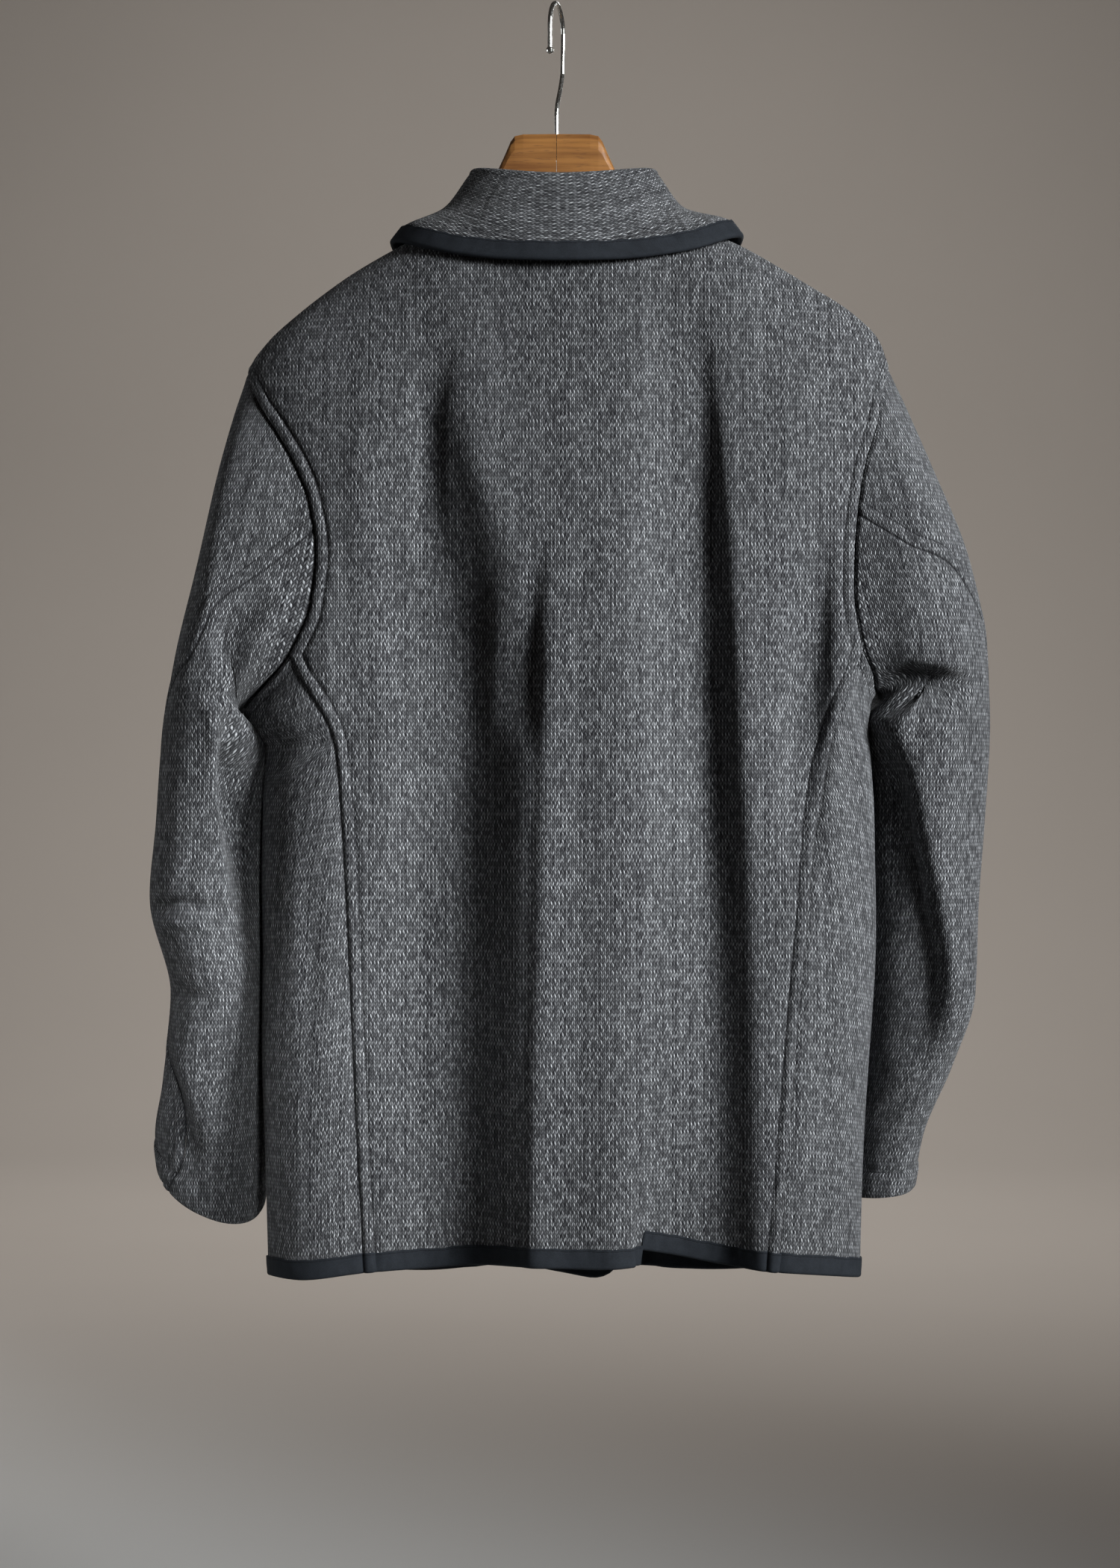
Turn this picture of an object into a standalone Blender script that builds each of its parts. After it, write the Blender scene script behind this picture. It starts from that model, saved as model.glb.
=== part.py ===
"""A knitted wool work jacket, buttoned up and hanging on a wooden hanger.

Metres, +Z up. The origin is the inside top of the hanger's hook. The jacket's back faces -Y, so the
wearer's left is at -X. Every cloth piece is a thin wall on one shared form: the torso is a stack of
rounded sections, the sleeves are lofts from the armholes to the cuffs, and the collar is a band that
turns over at its crease. Long folds are soft troughs laid into the torso.
"""
import math

import bmesh
import bpy
import numpy as np
from mathutils import Vector

# Driving sizes: cloth, tape and seams
CLOTH = 0.0026
TAPE = 0.0009
TAPE_WIDTH = 0.0120
TAPE_GAP = 0.0004
SEAM_GAP = 0.0003

# Lapped front edge: the left front lies over the right one and hangs a little lower at its corner
LAP_STEP = 0.0058
LAP_START = -0.062
LAP_FULL = -0.032
LEFT_LAP = 0.046
RIGHT_LAP = -0.012
LAP_SAG = 0.009
LAP_SAG_REACH = 0.080
CORNER_ROUND = 0.024

# Hem and neckline
HEM_HEIGHT = -0.919
HEM_BACK_RISE = 0.013
HEM_FRONT_DROP = 0.005
HEM_FADE = 0.150
HEM_ROUND = 1.06
NECK_HEIGHT = -0.152
NECK_FRONT_DROP = 0.078
NECK_POINT = 0.003
NECK_TURN_BELOW = 0.012
NECK_TURN_ABOVE = 0.014

# Collar
STAND_LIFT = 0.0006
STAND_INSET = 0.0036
STAND_INSET_REACH = 0.025
CREASE_ROUND = 0.0038
FALL_SWELL = 0.0012
FALL_CLEAR = 0.0070
COLLAR_END = 5.0
COLLAR_FRONT_CURVE = 1.6

# Buttons
BUTTON_RADIUS = 0.0105
BUTTON_THICK = 0.0040
BUTTON_COUNT = 5
BUTTON_TOP = -0.285
BUTTON_STEP = 0.125
BUTTON_GAP = 0.0004
BUTTON_LINE = 0.018
BUTTON_HOLES = 4
BUTTON_HOLE_OUT = 0.0025
BUTTON_HOLE_RADIUS = 0.0010

# Hanger and hook
WIRE_RADIUS = 0.0016
BALL_RADIUS = 0.0028
HANGER_SPLIT = -0.0025
HANGER_SEAT = 0.0056
HANGER_NECK_REACH = 0.085
HANGER_FLARE_TOP = -0.1580
HANGER_SQUARE = 3.6
SOCKET_DEPTH = 0.020
SOCKET_CLEAR = 0.0003
HOOK_RADIUS = 0.0201
HOOK_TIP_DROP = 0.0170
HOOK_SLANT = 0.24

# Torso sections, from the hem up to the neck
TORSO_COLUMNS = ("height", "left", "right", "back", "front", "square")
TORSO = (
    (-0.960, 0.2095, 0.2150, 0.098, 0.108, 2.7),
    (-0.861, 0.2125, 0.2170, 0.097, 0.106, 2.7),
    (-0.753, 0.2145, 0.2230, 0.095, 0.104, 2.7),
    (-0.645, 0.2150, 0.2270, 0.093, 0.101, 2.6),
    (-0.591, 0.2135, 0.2265, 0.092, 0.099, 2.6),
    (-0.537, 0.2110, 0.2235, 0.091, 0.097, 2.5),
    (-0.523, 0.2180, 0.2225, 0.091, 0.097, 2.5),
    (-0.510, 0.2270, 0.2240, 0.090, 0.096, 2.5),
    (-0.496, 0.2300, 0.2275, 0.090, 0.095, 2.5),
    (-0.483, 0.2330, 0.2330, 0.090, 0.094, 2.5),
    (-0.407, 0.2390, 0.2400, 0.087, 0.090, 2.4),
    (-0.320, 0.2370, 0.2440, 0.082, 0.084, 2.4),
    (-0.266, 0.2256, 0.2380, 0.074, 0.075, 2.4),
    (-0.2445, 0.2121, 0.2315, 0.070, 0.071, 2.4),
    (-0.2229, 0.1899, 0.2121, 0.067, 0.068, 2.3),
    (-0.2012, 0.1596, 0.1791, 0.064, 0.065, 2.3),
    (-0.1796, 0.1210, 0.1400, 0.060, 0.062, 2.2),
    (-0.1634, 0.0910, 0.1020, 0.057, 0.060, 2.2),
    (-0.1520, 0.0745, 0.0795, 0.055, 0.058, 2.2),
)

# Side-back seams, measured across from the centre
SIDE_SEAM_COLUMNS = ("height", "left", "right")
SIDE_SEAM = (
    (-0.960, 0.1390, 0.1510),
    (-0.797, 0.1470, 0.1630),
    (-0.645, 0.1533, 0.1765),
    (-0.548, 0.1590, 0.1910),
    (-0.526, 0.1627, 0.1960),
    (-0.504, 0.1730, 0.2020),
    (-0.483, 0.1846, 0.2085),
    (-0.468, 0.1915, 0.2128),
)

# Armholes: the seam's place as a share of the torso's half width, from the underarm up to the shoulder
ARMHOLE_COLUMNS = ("share", "left_back", "right_back", "left_front", "right_front")
ARMHOLE = (
    (0.00, 1.000, 1.000, 1.000, 1.000),
    (0.05, 0.935, 0.965, 0.930, 0.930),
    (0.12, 0.850, 0.922, 0.845, 0.845),
    (0.20, 0.790, 0.895, 0.790, 0.790),
    (0.30, 0.742, 0.878, 0.750, 0.750),
    (0.45, 0.722, 0.873, 0.730, 0.730),
    (0.60, 0.745, 0.881, 0.740, 0.740),
    (0.70, 0.787, 0.897, 0.770, 0.770),
    (0.80, 0.848, 0.928, 0.825, 0.825),
    (0.90, 0.928, 0.958, 0.910, 0.910),
    (1.00, 1.000, 1.000, 1.000, 1.000),
)
UNDERARM = {"left": -0.5096, "right": -0.4960}
SHOULDER = {"left": -0.2670, "right": -0.2640}
SIDE_SIGN = {"left": -1.0, "right": 1.0}
JUNCTION_SHARE = {"left": 0.155, "right": 0.125}

# Long troughs in the back and fronts: a row for each height on the way down
FOLD_FADE = (0.25, 0.70)
FOLD_COLUMNS = ("height", "place", "left", "right", "depth", "lean")
BACK_FOLDS = {
    "left trough": (
        (-0.215, -0.086, 0.045, 0.028, 0.0000, 0.000),
        (-0.300, -0.090, 0.055, 0.030, 0.0100, 0.000),
        (-0.410, -0.086, 0.072, 0.060, 0.0260, 0.002),
        (-0.485, -0.080, 0.080, 0.078, 0.0360, 0.004),
        (-0.560, -0.078, 0.085, 0.066, 0.0400, 0.005),
        (-0.700, -0.078, 0.085, 0.064, 0.0430, 0.006),
        (-0.960, -0.074, 0.085, 0.060, 0.0440, 0.006),
    ),
    "right trough": (
        (-0.215, 0.090, 0.040, 0.025, 0.0000, 0.000),
        (-0.300, 0.092, 0.050, 0.028, 0.0090, 0.000),
        (-0.410, 0.097, 0.058, 0.030, 0.0220, 0.002),
        (-0.537, 0.101, 0.065, 0.032, 0.0270, 0.004),
        (-0.700, 0.104, 0.070, 0.040, 0.0260, 0.004),
        (-0.960, 0.108, 0.070, 0.042, 0.0250, 0.004),
    ),
    "armhole trough": (
        (-0.320, 0.172, 0.026, 0.020, 0.0000, 0.000),
        (-0.420, 0.172, 0.030, 0.024, 0.0065, 0.000),
        (-0.500, 0.174, 0.032, 0.026, 0.0085, 0.000),
        (-0.560, 0.178, 0.032, 0.026, 0.0050, 0.000),
        (-0.640, 0.180, 0.034, 0.024, 0.0000, 0.000),
    ),
    "hem pleat": (
        (-0.780, 0.066, 0.034, 0.060, 0.0000, 0.000),
        (-0.860, 0.066, 0.034, 0.065, 0.0060, -0.002),
        (-0.960, 0.066, 0.032, 0.070, 0.0110, -0.004),
    ),
}
FRONT_FOLDS = {
    "left front trough": (
        (-0.280, -0.120, 0.040, 0.040, 0.0000, 0.000),
        (-0.450, -0.115, 0.055, 0.045, 0.0140, 0.000),
        (-0.700, -0.105, 0.065, 0.050, 0.0220, 0.000),
        (-0.960, -0.100, 0.070, 0.055, 0.0240, 0.000),
    ),
    "right front trough": (
        (-0.300, 0.125, 0.040, 0.040, 0.0000, 0.000),
        (-0.480, 0.118, 0.045, 0.055, 0.0120, 0.000),
        (-0.700, 0.112, 0.050, 0.060, 0.0180, 0.000),
        (-0.960, 0.108, 0.055, 0.065, 0.0200, 0.000),
    ),
}

# Sleeve sections after the armhole: the inner and outer ends seen from behind, the middle's place
# from back to front, half the depth, how far the back's crest leans towards the outside, and how far
# the back hangs below the middle
SLEEVE_COLUMNS = ("inner_x", "inner_z", "outer_x", "outer_z", "middle_y", "depth", "lean", "tilt")
SLEEVES = {
    "left": (
        (-0.2316, -0.5150, -0.2446, -0.3365, -0.004, 0.070, 0.00, 0.000),
        (-0.2320, -0.5220, -0.2620, -0.4095, -0.002, 0.075, 0.05, 0.000),
        (-0.2275, -0.5330, -0.2772, -0.4718, 0.002, 0.078, 0.10, 0.000),
        (-0.2170, -0.5560, -0.2884, -0.5367, 0.010, 0.077, 0.10, 0.000),
        (-0.2145, -0.5940, -0.2936, -0.5908, 0.016, 0.074, 0.15, 0.000),
        (-0.2140, -0.6460, -0.3002, -0.6476, 0.022, 0.071, 0.10, 0.000),
        (-0.2140, -0.7152, -0.2846, -0.7179, 0.030, 0.066, 0.00, 0.000),
        (-0.2135, -0.7801, -0.2922, -0.7801, 0.042, 0.059, 0.00, 0.004),
        (-0.2140, -0.8320, -0.2998, -0.8200, 0.050, 0.053, 0.00, 0.016),
        (-0.2186, -0.8720, -0.2980, -0.8400, 0.054, 0.050, 0.00, 0.022),
    ),
    "right": (
        (0.2315, -0.4988, 0.2688, -0.3338, 0.007, 0.066, 0.00, 0.000),
        (0.2340, -0.5050, 0.2964, -0.3987, 0.013, 0.066, 0.00, 0.000),
        (0.2320, -0.5180, 0.3100, -0.4582, 0.020, 0.068, -0.10, 0.000),
        (0.2255, -0.5400, 0.3152, -0.5286, 0.034, 0.068, -0.20, 0.000),
        (0.2260, -0.5940, 0.3133, -0.5908, 0.044, 0.068, -0.20, 0.000),
        (0.2260, -0.6470, 0.3097, -0.6476, 0.047, 0.068, 0.00, 0.000),
        (0.2240, -0.7110, 0.3051, -0.7125, 0.050, 0.068, 0.30, 0.000),
        (0.2185, -0.7693, 0.2896, -0.7693, 0.056, 0.060, 0.30, 0.000),
        (0.2130, -0.8180, 0.2690, -0.8191, 0.062, 0.056, 0.20, 0.002),
        (0.2090, -0.8640, 0.2614, -0.8569, 0.066, 0.054, 0.10, 0.004),
    ),
}
SLEEVE_SQUARE = 2.2

# Sleeve seams: turns in degrees round the sleeve from the underarm, over the back to the outside
SLEEVE_SEAM_COLUMNS = ("along", "left_back", "left_front", "right_back", "right_front")
SLEEVE_SEAMS = (
    (0.00, 92.0, 300.0, 94.0, 300.0),
    (0.08, 85.0, 300.0, 98.0, 300.0),
    (0.185, 97.0, 300.0, 133.0, 300.0),
    (0.25, 112.0, 299.0, 168.0, 299.0),
    (0.32, 158.0, 298.0, 182.0, 298.0),
    (0.44, 184.0, 296.0, 190.0, 296.0),
    (0.75, 172.0, 294.0, 188.0, 294.0),
    (0.92, 122.0, 292.0, 176.0, 292.0),
    (1.00, 135.0, 292.0, 174.0, 292.0),
)

# Collar rings: half widths and depths about the neck, with heights at the back, the sides and the front
COLLAR_COLUMNS = ("left", "right", "back", "front", "back_height", "side_height", "front_height")
CREASE_RING = (0.0575, 0.0675, 0.0500, 0.072, -0.1255, -0.1145, -0.2050)
FALL_RING = (0.1130, 0.1210, 0.0745, 0.103, -0.1940, -0.1735, -0.2780)

# Hanger halves: sections of the neck from the split outwards, then sections of the arm
HANGER_COLUMNS = ("out", "top", "bottom", "thick")
HANGER_NECK = (
    (0.0000, -0.0930, -0.1500, 0.0130),
    (0.0240, -0.0932, -0.1520, 0.0130),
    (0.0300, -0.0945, -0.1530, 0.0128),
    (0.0330, -0.0985, -0.1540, 0.0126),
    (0.0370, -0.1080, -0.1555, 0.0125),
    (0.0420, -0.1190, -0.1580, 0.0125),
    (0.0520, -0.1390, -0.1700, 0.0128),
)
HANGER_ARM_OUT = (0.068, 0.090, 0.115, 0.140, 0.165, 0.188, 0.199, 0.2035)
HANGER_ARM_THICK = (0.0130, 0.0135, 0.0140, 0.0148, 0.0155, 0.0155, 0.0120, 0.0060)
HANGER_ARM_TALL = (0.032, 0.032, 0.031, 0.030, 0.028, 0.025, 0.018, 0.008)
HANGER_END_DROP = (0.0, 0.0, 0.0, 0.0, 0.0004, 0.0016, 0.0044, 0.0090)

# Hook: the stem's way up from the socket in the hook's own plane, as distance out and height
HOOK_STEM = (
    (0.0000, -0.0930 - SOCKET_DEPTH + 0.001),
    (0.0000, -0.0930),
    (0.0000, -0.0800),
    (0.0030, -0.0700),
    (0.0110, -0.0590),
    (0.0180, -0.0460),
)

# Ball and button outlines: shares of the radius and of the thickness
BALL_SHARES = (-0.80, -0.45, 0.0, 0.45, 0.80, 0.97)
BUTTON_PROFILE = ((0.88, 0.0), (1.0, 0.18), (1.0, 0.70), (0.93, 1.0), (0.80, 1.0), (0.70, 0.75))

# Mesh fineness
BACK_ACROSS = 22
LOW_ROWS = 11
HOLE_BACK_ROWS = 8
HOLE_FRONT_ROWS = 7
RIDGE_ROWS = 6
FRONT_ACROSS = 13
FRONT_SIDE = 5
SLEEVE_ROWS = 13
COLLAR_ACROSS = 22
RING_POINTS = 16
WIRE_POINTS = 14
BUTTON_POINTS = 20
HOLE_POINTS = 10
CREASE_STEPS = 3
HEM_ROW = 0.0140
LAP_BUNCH = 1.2
SLEEVE_BUNCH = 1.35

# Seams: wall directions halfway between two pieces, and the way every seam's rim is cut
FRONT_HOLE_SHARE = 0.09
SEAM_BISECT = 0.35
ARMHOLE_STEP = 0.01
SEAM_SETTLE = 0.12
SEAM_BLEND = 0.06
RIM_WAY = (0.37, 0.23, 0.90)

# A typical torso section, used to space points evenly round it
TYPICAL_WIDE = 0.22
TYPICAL_DEEP = 0.09
TYPICAL_POWER = 0.8
TYPICAL_STEPS = 2881


def clear_scene():
    for thing in list(bpy.data.objects):
        bpy.data.objects.remove(thing, do_unlink=True)


def column(rows, columns, name):
    return np.array([row[columns.index(name)] for row in rows], dtype=float)


def smooth_through(knots, values, at):
    """A smooth curve through a few given values, without overshoot."""
    knots = np.asarray(knots, dtype=float)
    values = np.asarray(values, dtype=float)
    at = np.asarray(at, dtype=float)
    shape = (-1,) + (1,) * (values.ndim - 1)
    step = np.diff(knots).reshape(shape)
    rise = np.diff(values, axis=0) / step
    slope = np.zeros_like(values)
    product = rise[1:] * rise[:-1]
    total = np.where(product > 0, rise[1:] + rise[:-1], 1.0)
    slope[1:-1] = np.where(product > 0, 2.0 * product / total, 0.0)
    slope[0] = rise[0]
    slope[-1] = rise[-1]
    place = np.clip(np.searchsorted(knots, at) - 1, 0, len(knots) - 2)
    span = np.diff(knots)[place]
    t = np.clip((at - knots[place]) / span, 0.0, 1.0)
    t = t.reshape(t.shape + (1,) * (values.ndim - 1))
    span = span.reshape(t.shape)
    keep = (1 + 2 * t) * (1 - t) ** 2 * values[place] + t ** 2 * (3 - 2 * t) * values[place + 1]
    lean = t * (1 - t) ** 2 * slope[place] + t ** 2 * (t - 1) * slope[place + 1]
    return keep + span * lean


def ease(low, high, at):
    t = np.clip((at - low) / (high - low), 0.0, 1.0)
    return t * t * (3 - 2 * t)


def signed_power(value, power):
    return np.sign(value) * np.abs(value) ** power


def unit(vectors):
    length = np.linalg.norm(vectors, axis=-1, keepdims=True)
    return vectors / np.maximum(length, 1e-12)


# Torso

def torso_size(height, name):
    return smooth_through(column(TORSO, TORSO_COLUMNS, "height"), column(TORSO, TORSO_COLUMNS, name), height)


def even_turns():
    """Turns round a typical section, with the share of its length that each one reaches."""
    turns = np.linspace(0.0, 2 * math.pi, TYPICAL_STEPS)
    x = TYPICAL_WIDE * signed_power(np.cos(turns), TYPICAL_POWER)
    y = TYPICAL_DEEP * signed_power(np.sin(turns), TYPICAL_POWER)
    length = np.concatenate(([0.0], np.cumsum(np.hypot(np.diff(x), np.diff(y)))))
    return turns, length / length[-1]


EVEN_TURNS, EVEN_SHARES = even_turns()


def around_at(side, face, across, height):
    """The place round the torso of a point that far from the centre: 0 is the right side, then 0.25 the
    front, 0.5 the left side and 0.75 the back; the right half of the back is counted below 0."""
    half = torso_size(height, side)
    turn = np.arccos(np.clip(np.abs(across) / half, 0.0, 1.0) ** (torso_size(height, "square") / 2))
    share = np.interp(turn, EVEN_TURNS, EVEN_SHARES)
    share = share if face == "front" else -share
    return share if side == "right" else 0.5 - share


def fold_push(folds, x, height):
    """How far the folds move a point inwards and sideways."""
    inwards = np.zeros_like(x)
    sideways = np.zeros_like(x)
    for rows in folds.values():
        rising = rows[::-1]
        knots = column(rising, FOLD_COLUMNS, "height")
        at = {name: smooth_through(knots, column(rising, FOLD_COLUMNS, name), height)
              for name in FOLD_COLUMNS[1:]}
        away = x - at["place"]
        t = np.clip(away / np.where(away < 0, at["left"], at["right"]), -1.0, 1.0)
        swell = 0.5 * (1 + np.cos(math.pi * t))
        inwards += at["depth"] * swell
        sideways += at["lean"] * swell
    return inwards, sideways


def torso(around, height):
    """Points of the cloth's outer face."""
    around, height = np.broadcast_arrays(np.asarray(around, float), np.asarray(height, float))
    turn = np.interp(around % 1.0, EVEN_SHARES, EVEN_TURNS)
    power = 2 / torso_size(height, "square")
    c = np.cos(turn)
    s = np.sin(turn)
    wide = np.where(c < 0, torso_size(height, "left"), torso_size(height, "right"))
    deep = np.where(s < 0, torso_size(height, "back"), torso_size(height, "front"))
    x = wide * signed_power(c, power)
    y = deep * signed_power(s, power)
    back_in, back_aside = fold_push(BACK_FOLDS, x, height)
    front_in, front_aside = fold_push(FRONT_FOLDS, x, height)
    back_weight = ease(*FOLD_FADE, -y / deep)
    front_weight = ease(*FOLD_FADE, y / deep)
    hem = np.where(s < 0, HEM_BACK_RISE, HEM_FRONT_DROP) * s
    hem *= 1 - ease(HEM_HEIGHT, HEM_HEIGHT + HEM_FADE, height)
    return np.stack((x + back_aside * back_weight + front_aside * front_weight,
                     y + back_in * back_weight - front_in * front_weight,
                     height - hem), axis=-1)


def torso_normal(around, height):
    small = 1e-4
    across = torso(around + small, height) - torso(around - small, height)
    up = torso(around, height + small) - torso(around, height - small)
    return unit(np.cross(across, up))


# Seam lines on the torso

def armhole_height(side, turn):
    """The height of a turn round the armhole: 0 is the underarm, half a turn is the shoulder."""
    return UNDERARM[side] + (SHOULDER[side] - UNDERARM[side]) * (1 - np.cos(turn)) / 2


def armhole_around(side, turn):
    """The place round the torso of a turn round the armhole: turns above 0 are on the back."""
    turn = np.asarray(turn, float)
    height = armhole_height(side, turn)
    share = (1 - np.cos(turn)) / 2
    shares = column(ARMHOLE, ARMHOLE_COLUMNS, "share")
    half = torso_size(height, side)
    found = {}
    for face in ("back", "front"):
        ratio = smooth_through(shares, column(ARMHOLE, ARMHOLE_COLUMNS, f"{side}_{face}"), share)
        found[face] = around_at(side, face, ratio * half, height)
    return np.where(np.sin(turn) >= 0, found["back"], found["front"])


def share_turn(share):
    return math.acos(1 - 2 * share)


def back_hole_turns(side):
    return np.linspace(share_turn(JUNCTION_SHARE[side]), math.pi, HOLE_BACK_ROWS + 1)


def front_hole_turns():
    return np.linspace(-share_turn(FRONT_HOLE_SHARE), -math.pi, HOLE_FRONT_ROWS + 1)


def bottom_hole_turns(side):
    return np.linspace(back_hole_turns(side)[0], front_hole_turns()[0], FRONT_SIDE + 1)


def ridge_heights(side):
    return np.linspace(SHOULDER[side], NECK_HEIGHT, RIDGE_ROWS + 1)


def ridge_around(side):
    return 0.5 if side == "left" else 0.0


def low_heights(low, high):
    """Heights of the rows below the armhole; the first row is just tall enough for the tape."""
    return np.concatenate(([low], np.linspace(low + HEM_ROW, high, LOW_ROWS)))


def side_seam(side):
    """Places and heights up the side-back seam, from the hem to the armhole."""
    top_turn = back_hole_turns(side)[0]
    top = armhole_height(side, top_turn)
    heights = low_heights(HEM_HEIGHT, top)
    across = smooth_through(column(SIDE_SEAM, SIDE_SEAM_COLUMNS, "height"),
                            column(SIDE_SEAM, SIDE_SEAM_COLUMNS, side), heights)
    around = around_at(side, "back", across, heights)
    near = ease(top - SEAM_BLEND, top, heights)
    return around + (armhole_around(side, top_turn) - around[-1]) * near, heights


def lap_around(side, height):
    """The front's centre edge: the lapped edge, then the neckline."""
    lap = LEFT_LAP if side == "left" else RIGHT_LAP
    straight = around_at("right" if lap > 0 else "left", "front", lap, height)
    drop = np.clip((NECK_HEIGHT + NECK_POINT - height) / NECK_FRONT_DROP, 0.0, 1.0)
    away = 0.25 * np.sqrt(drop)
    neck = 0.5 - away if side == "left" else away
    low = NECK_HEIGHT - NECK_FRONT_DROP
    blend = ease(low - NECK_TURN_BELOW, low + NECK_TURN_ABOVE, height)
    return straight * (1 - blend) + neck * blend


# Sheets: places round the torso and heights, a row for each step up

def back_sheet():
    edges = {}
    for side in ("left", "right"):
        seam_around, seam_heights = side_seam(side)
        turns = back_hole_turns(side)[1:]
        ridge = ridge_heights(side)[1:]
        ridge_places = np.full(len(ridge), ridge_around(side))
        around = np.concatenate((seam_around, armhole_around(side, turns), ridge_places))
        heights = np.concatenate((seam_heights, armhole_height(side, turns), ridge))
        edges[side] = np.stack((around, heights), axis=-1)
    edges["right"][:, 0] += 1.0
    shares = np.linspace(0.0, 1.0, BACK_ACROSS)[None, :, None]
    return edges["left"][:, None] * (1 - shares) + edges["right"][:, None] * shares


def patch(bottom, top, left, right, shares):
    """A grid of places blended from its four edges; the shares are the columns' places across."""
    t = ((left[:, 1] - left[0, 1]) / (left[-1, 1] - left[0, 1]))[:, None, None]
    s = shares[None, :, None]
    corners = (1 - t) * ((1 - s) * bottom[0] + s * bottom[-1]) + t * ((1 - s) * top[0] + s * top[-1])
    return (1 - t) * bottom + t * top + (1 - s) * left[:, None] + s * right[:, None] - corners


def bunched(count):
    """Shares from 0 to 1 that lie closer together towards the lapped edge."""
    return 1 - np.linspace(1.0, 0.0, count + 1) ** LAP_BUNCH


def front_sheet(side):
    """A front from its side seam round to the lap; above the underarm only the columns past the armhole."""
    across = FRONT_ACROSS - FRONT_SIDE
    left = np.stack(side_seam(side), axis=-1)
    level = float(armhole_height(side, front_hole_turns()[0]))
    lap_heights = low_heights(HEM_HEIGHT + CORNER_ROUND, level)
    right = np.stack((lap_around(side, lap_heights), lap_heights), axis=-1)
    shares = bunched(FRONT_ACROSS)
    hem_around = left[0, 0] + (right[0, 0] - left[0, 0]) * shares
    near = np.clip(1 - np.abs(hem_around - right[0, 0]) * HEM_ROUND / CORNER_ROUND, 0.0, 1.0)
    hem_heights = HEM_HEIGHT + CORNER_ROUND * (1 - np.sqrt(1 - near ** 2))
    sag = LAP_SAG if side == "left" else 0.0
    reach = np.clip(1 - np.abs(hem_around - right[0, 0]) * HEM_ROUND / LAP_SAG_REACH, 0.0, 1.0)
    hem_heights -= sag * ease(0.0, 1.0, reach)
    right[0, 1] -= sag
    bottom = np.stack((hem_around, hem_heights), axis=-1)
    turns = bottom_hole_turns(side)
    under = np.stack((armhole_around(side, turns), armhole_height(side, turns)), axis=-1)
    run = bunched(across)[1:, None]
    top = np.concatenate((under, under[-1] * (1 - run) + right[-1] * run))
    rows = list(patch(bottom, top, left, right, shares))
    turns = front_hole_turns()[1:]
    ridge = ridge_heights(side)[1:]
    outer = np.concatenate((armhole_around(side, turns), np.full(len(ridge), ridge_around(side))))
    heights = np.concatenate((armhole_height(side, turns), ridge))
    spread = np.concatenate((np.zeros(FRONT_SIDE), bunched(across)))
    for start, height in zip(outer, heights):
        end = lap_around(side, height)
        rows.append(np.stack((start + (end - start) * spread, np.full(FRONT_ACROSS + 1, height)), axis=-1))
    return np.array(rows)


def torso_sheet(places):
    """Points and normals of a sheet of places."""
    around = places[..., 0]
    height = places[..., 1]
    return torso(around, height), torso_normal(around, height)


def lap_over(points, normals):
    """The left front steps out where it lies over the right one."""
    step = LAP_STEP * ease(LAP_START, LAP_FULL, points[..., 0]) * (points[..., 1] > 0)
    return points + normals * step[..., None]


# Walls

def boundary_edges(faces):
    used = {}
    for face in faces:
        for a, b in zip(face, face[1:] + face[:1]):
            used[(a, b)] = face
    return {edge: face for edge, face in used.items() if (edge[1], edge[0]) not in used}


def draw_in(points, normals, faces):
    """The sheet with its edge drawn in by half a seam's gap."""
    ways = {}
    for (a, b), face in boundary_edges(faces).items():
        inwards = np.cross(normals[a] + normals[b], points[b] - points[a])
        inwards = unit(inwards * np.sign(np.dot(inwards, points[list(face)].mean(axis=0) - points[a])))
        for corner in (a, b):
            ways.setdefault(corner, []).append(inwards)
    moved = points.copy()
    for corner, inwards in ways.items():
        middle = np.mean(inwards, axis=0)
        moved[corner] = points[corner] + middle / max(np.dot(middle, middle), 0.3) * SEAM_GAP / 2
    return moved


def grid_faces(rows, across, present=None):
    faces = []
    for i in range(rows - 1):
        for j in range(across - 1):
            if present is None or present(i, j):
                k = i * across + j
                faces.append((k, k + 1, k + across + 1, k + across))
    return faces


def used_only(points, normals, faces):
    """The same sheet without the points that no face uses."""
    used = sorted({i for face in faces for i in face})
    place = {old: new for new, old in enumerate(used)}
    return points[used], normals[used], [tuple(place[i] for i in face) for face in faces]


def add_wall(name, points, normals, material, present=None, thick=CLOTH):
    """A closed wall on a grid of points; its thickness goes inwards."""
    faces = grid_faces(points.shape[0], points.shape[1], present)
    flat_points, flat_normals, faces = used_only(points.reshape(-1, 3), normals.reshape(-1, 3), faces)
    outer = draw_in(flat_points, flat_normals, faces)
    inner = outer - flat_normals * thick
    count = len(outer)
    mesh = bmesh.new()
    verts = [mesh.verts.new(p) for p in np.concatenate((outer, inner))]
    for face in faces:
        mesh.faces.new([verts[i] for i in face])
        mesh.faces.new([verts[i + count] for i in reversed(face)])
    for a, b in boundary_edges(faces):
        rim = [verts[b], verts[a], verts[a + count], verts[b + count]]
        if np.dot(outer[a] - outer[b], RIM_WAY) > 0:
            rim = rim[1:] + rim[:1]
        mesh.faces.new([rim[0], rim[1], rim[2]])
        mesh.faces.new([rim[0], rim[2], rim[3]])
    return add_object(name, mesh, material)


def add_object(name, mesh, material):
    bmesh.ops.recalc_face_normals(mesh, faces=mesh.faces)
    data = bpy.data.meshes.new(name)
    mesh.to_mesh(data)
    mesh.free()
    data.shade_smooth()
    data.set_sharp_from_angle(angle=math.radians(40))
    data.materials.append(material)
    thing = bpy.data.objects.new(name, data)
    bpy.context.collection.objects.link(thing)
    return thing


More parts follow.
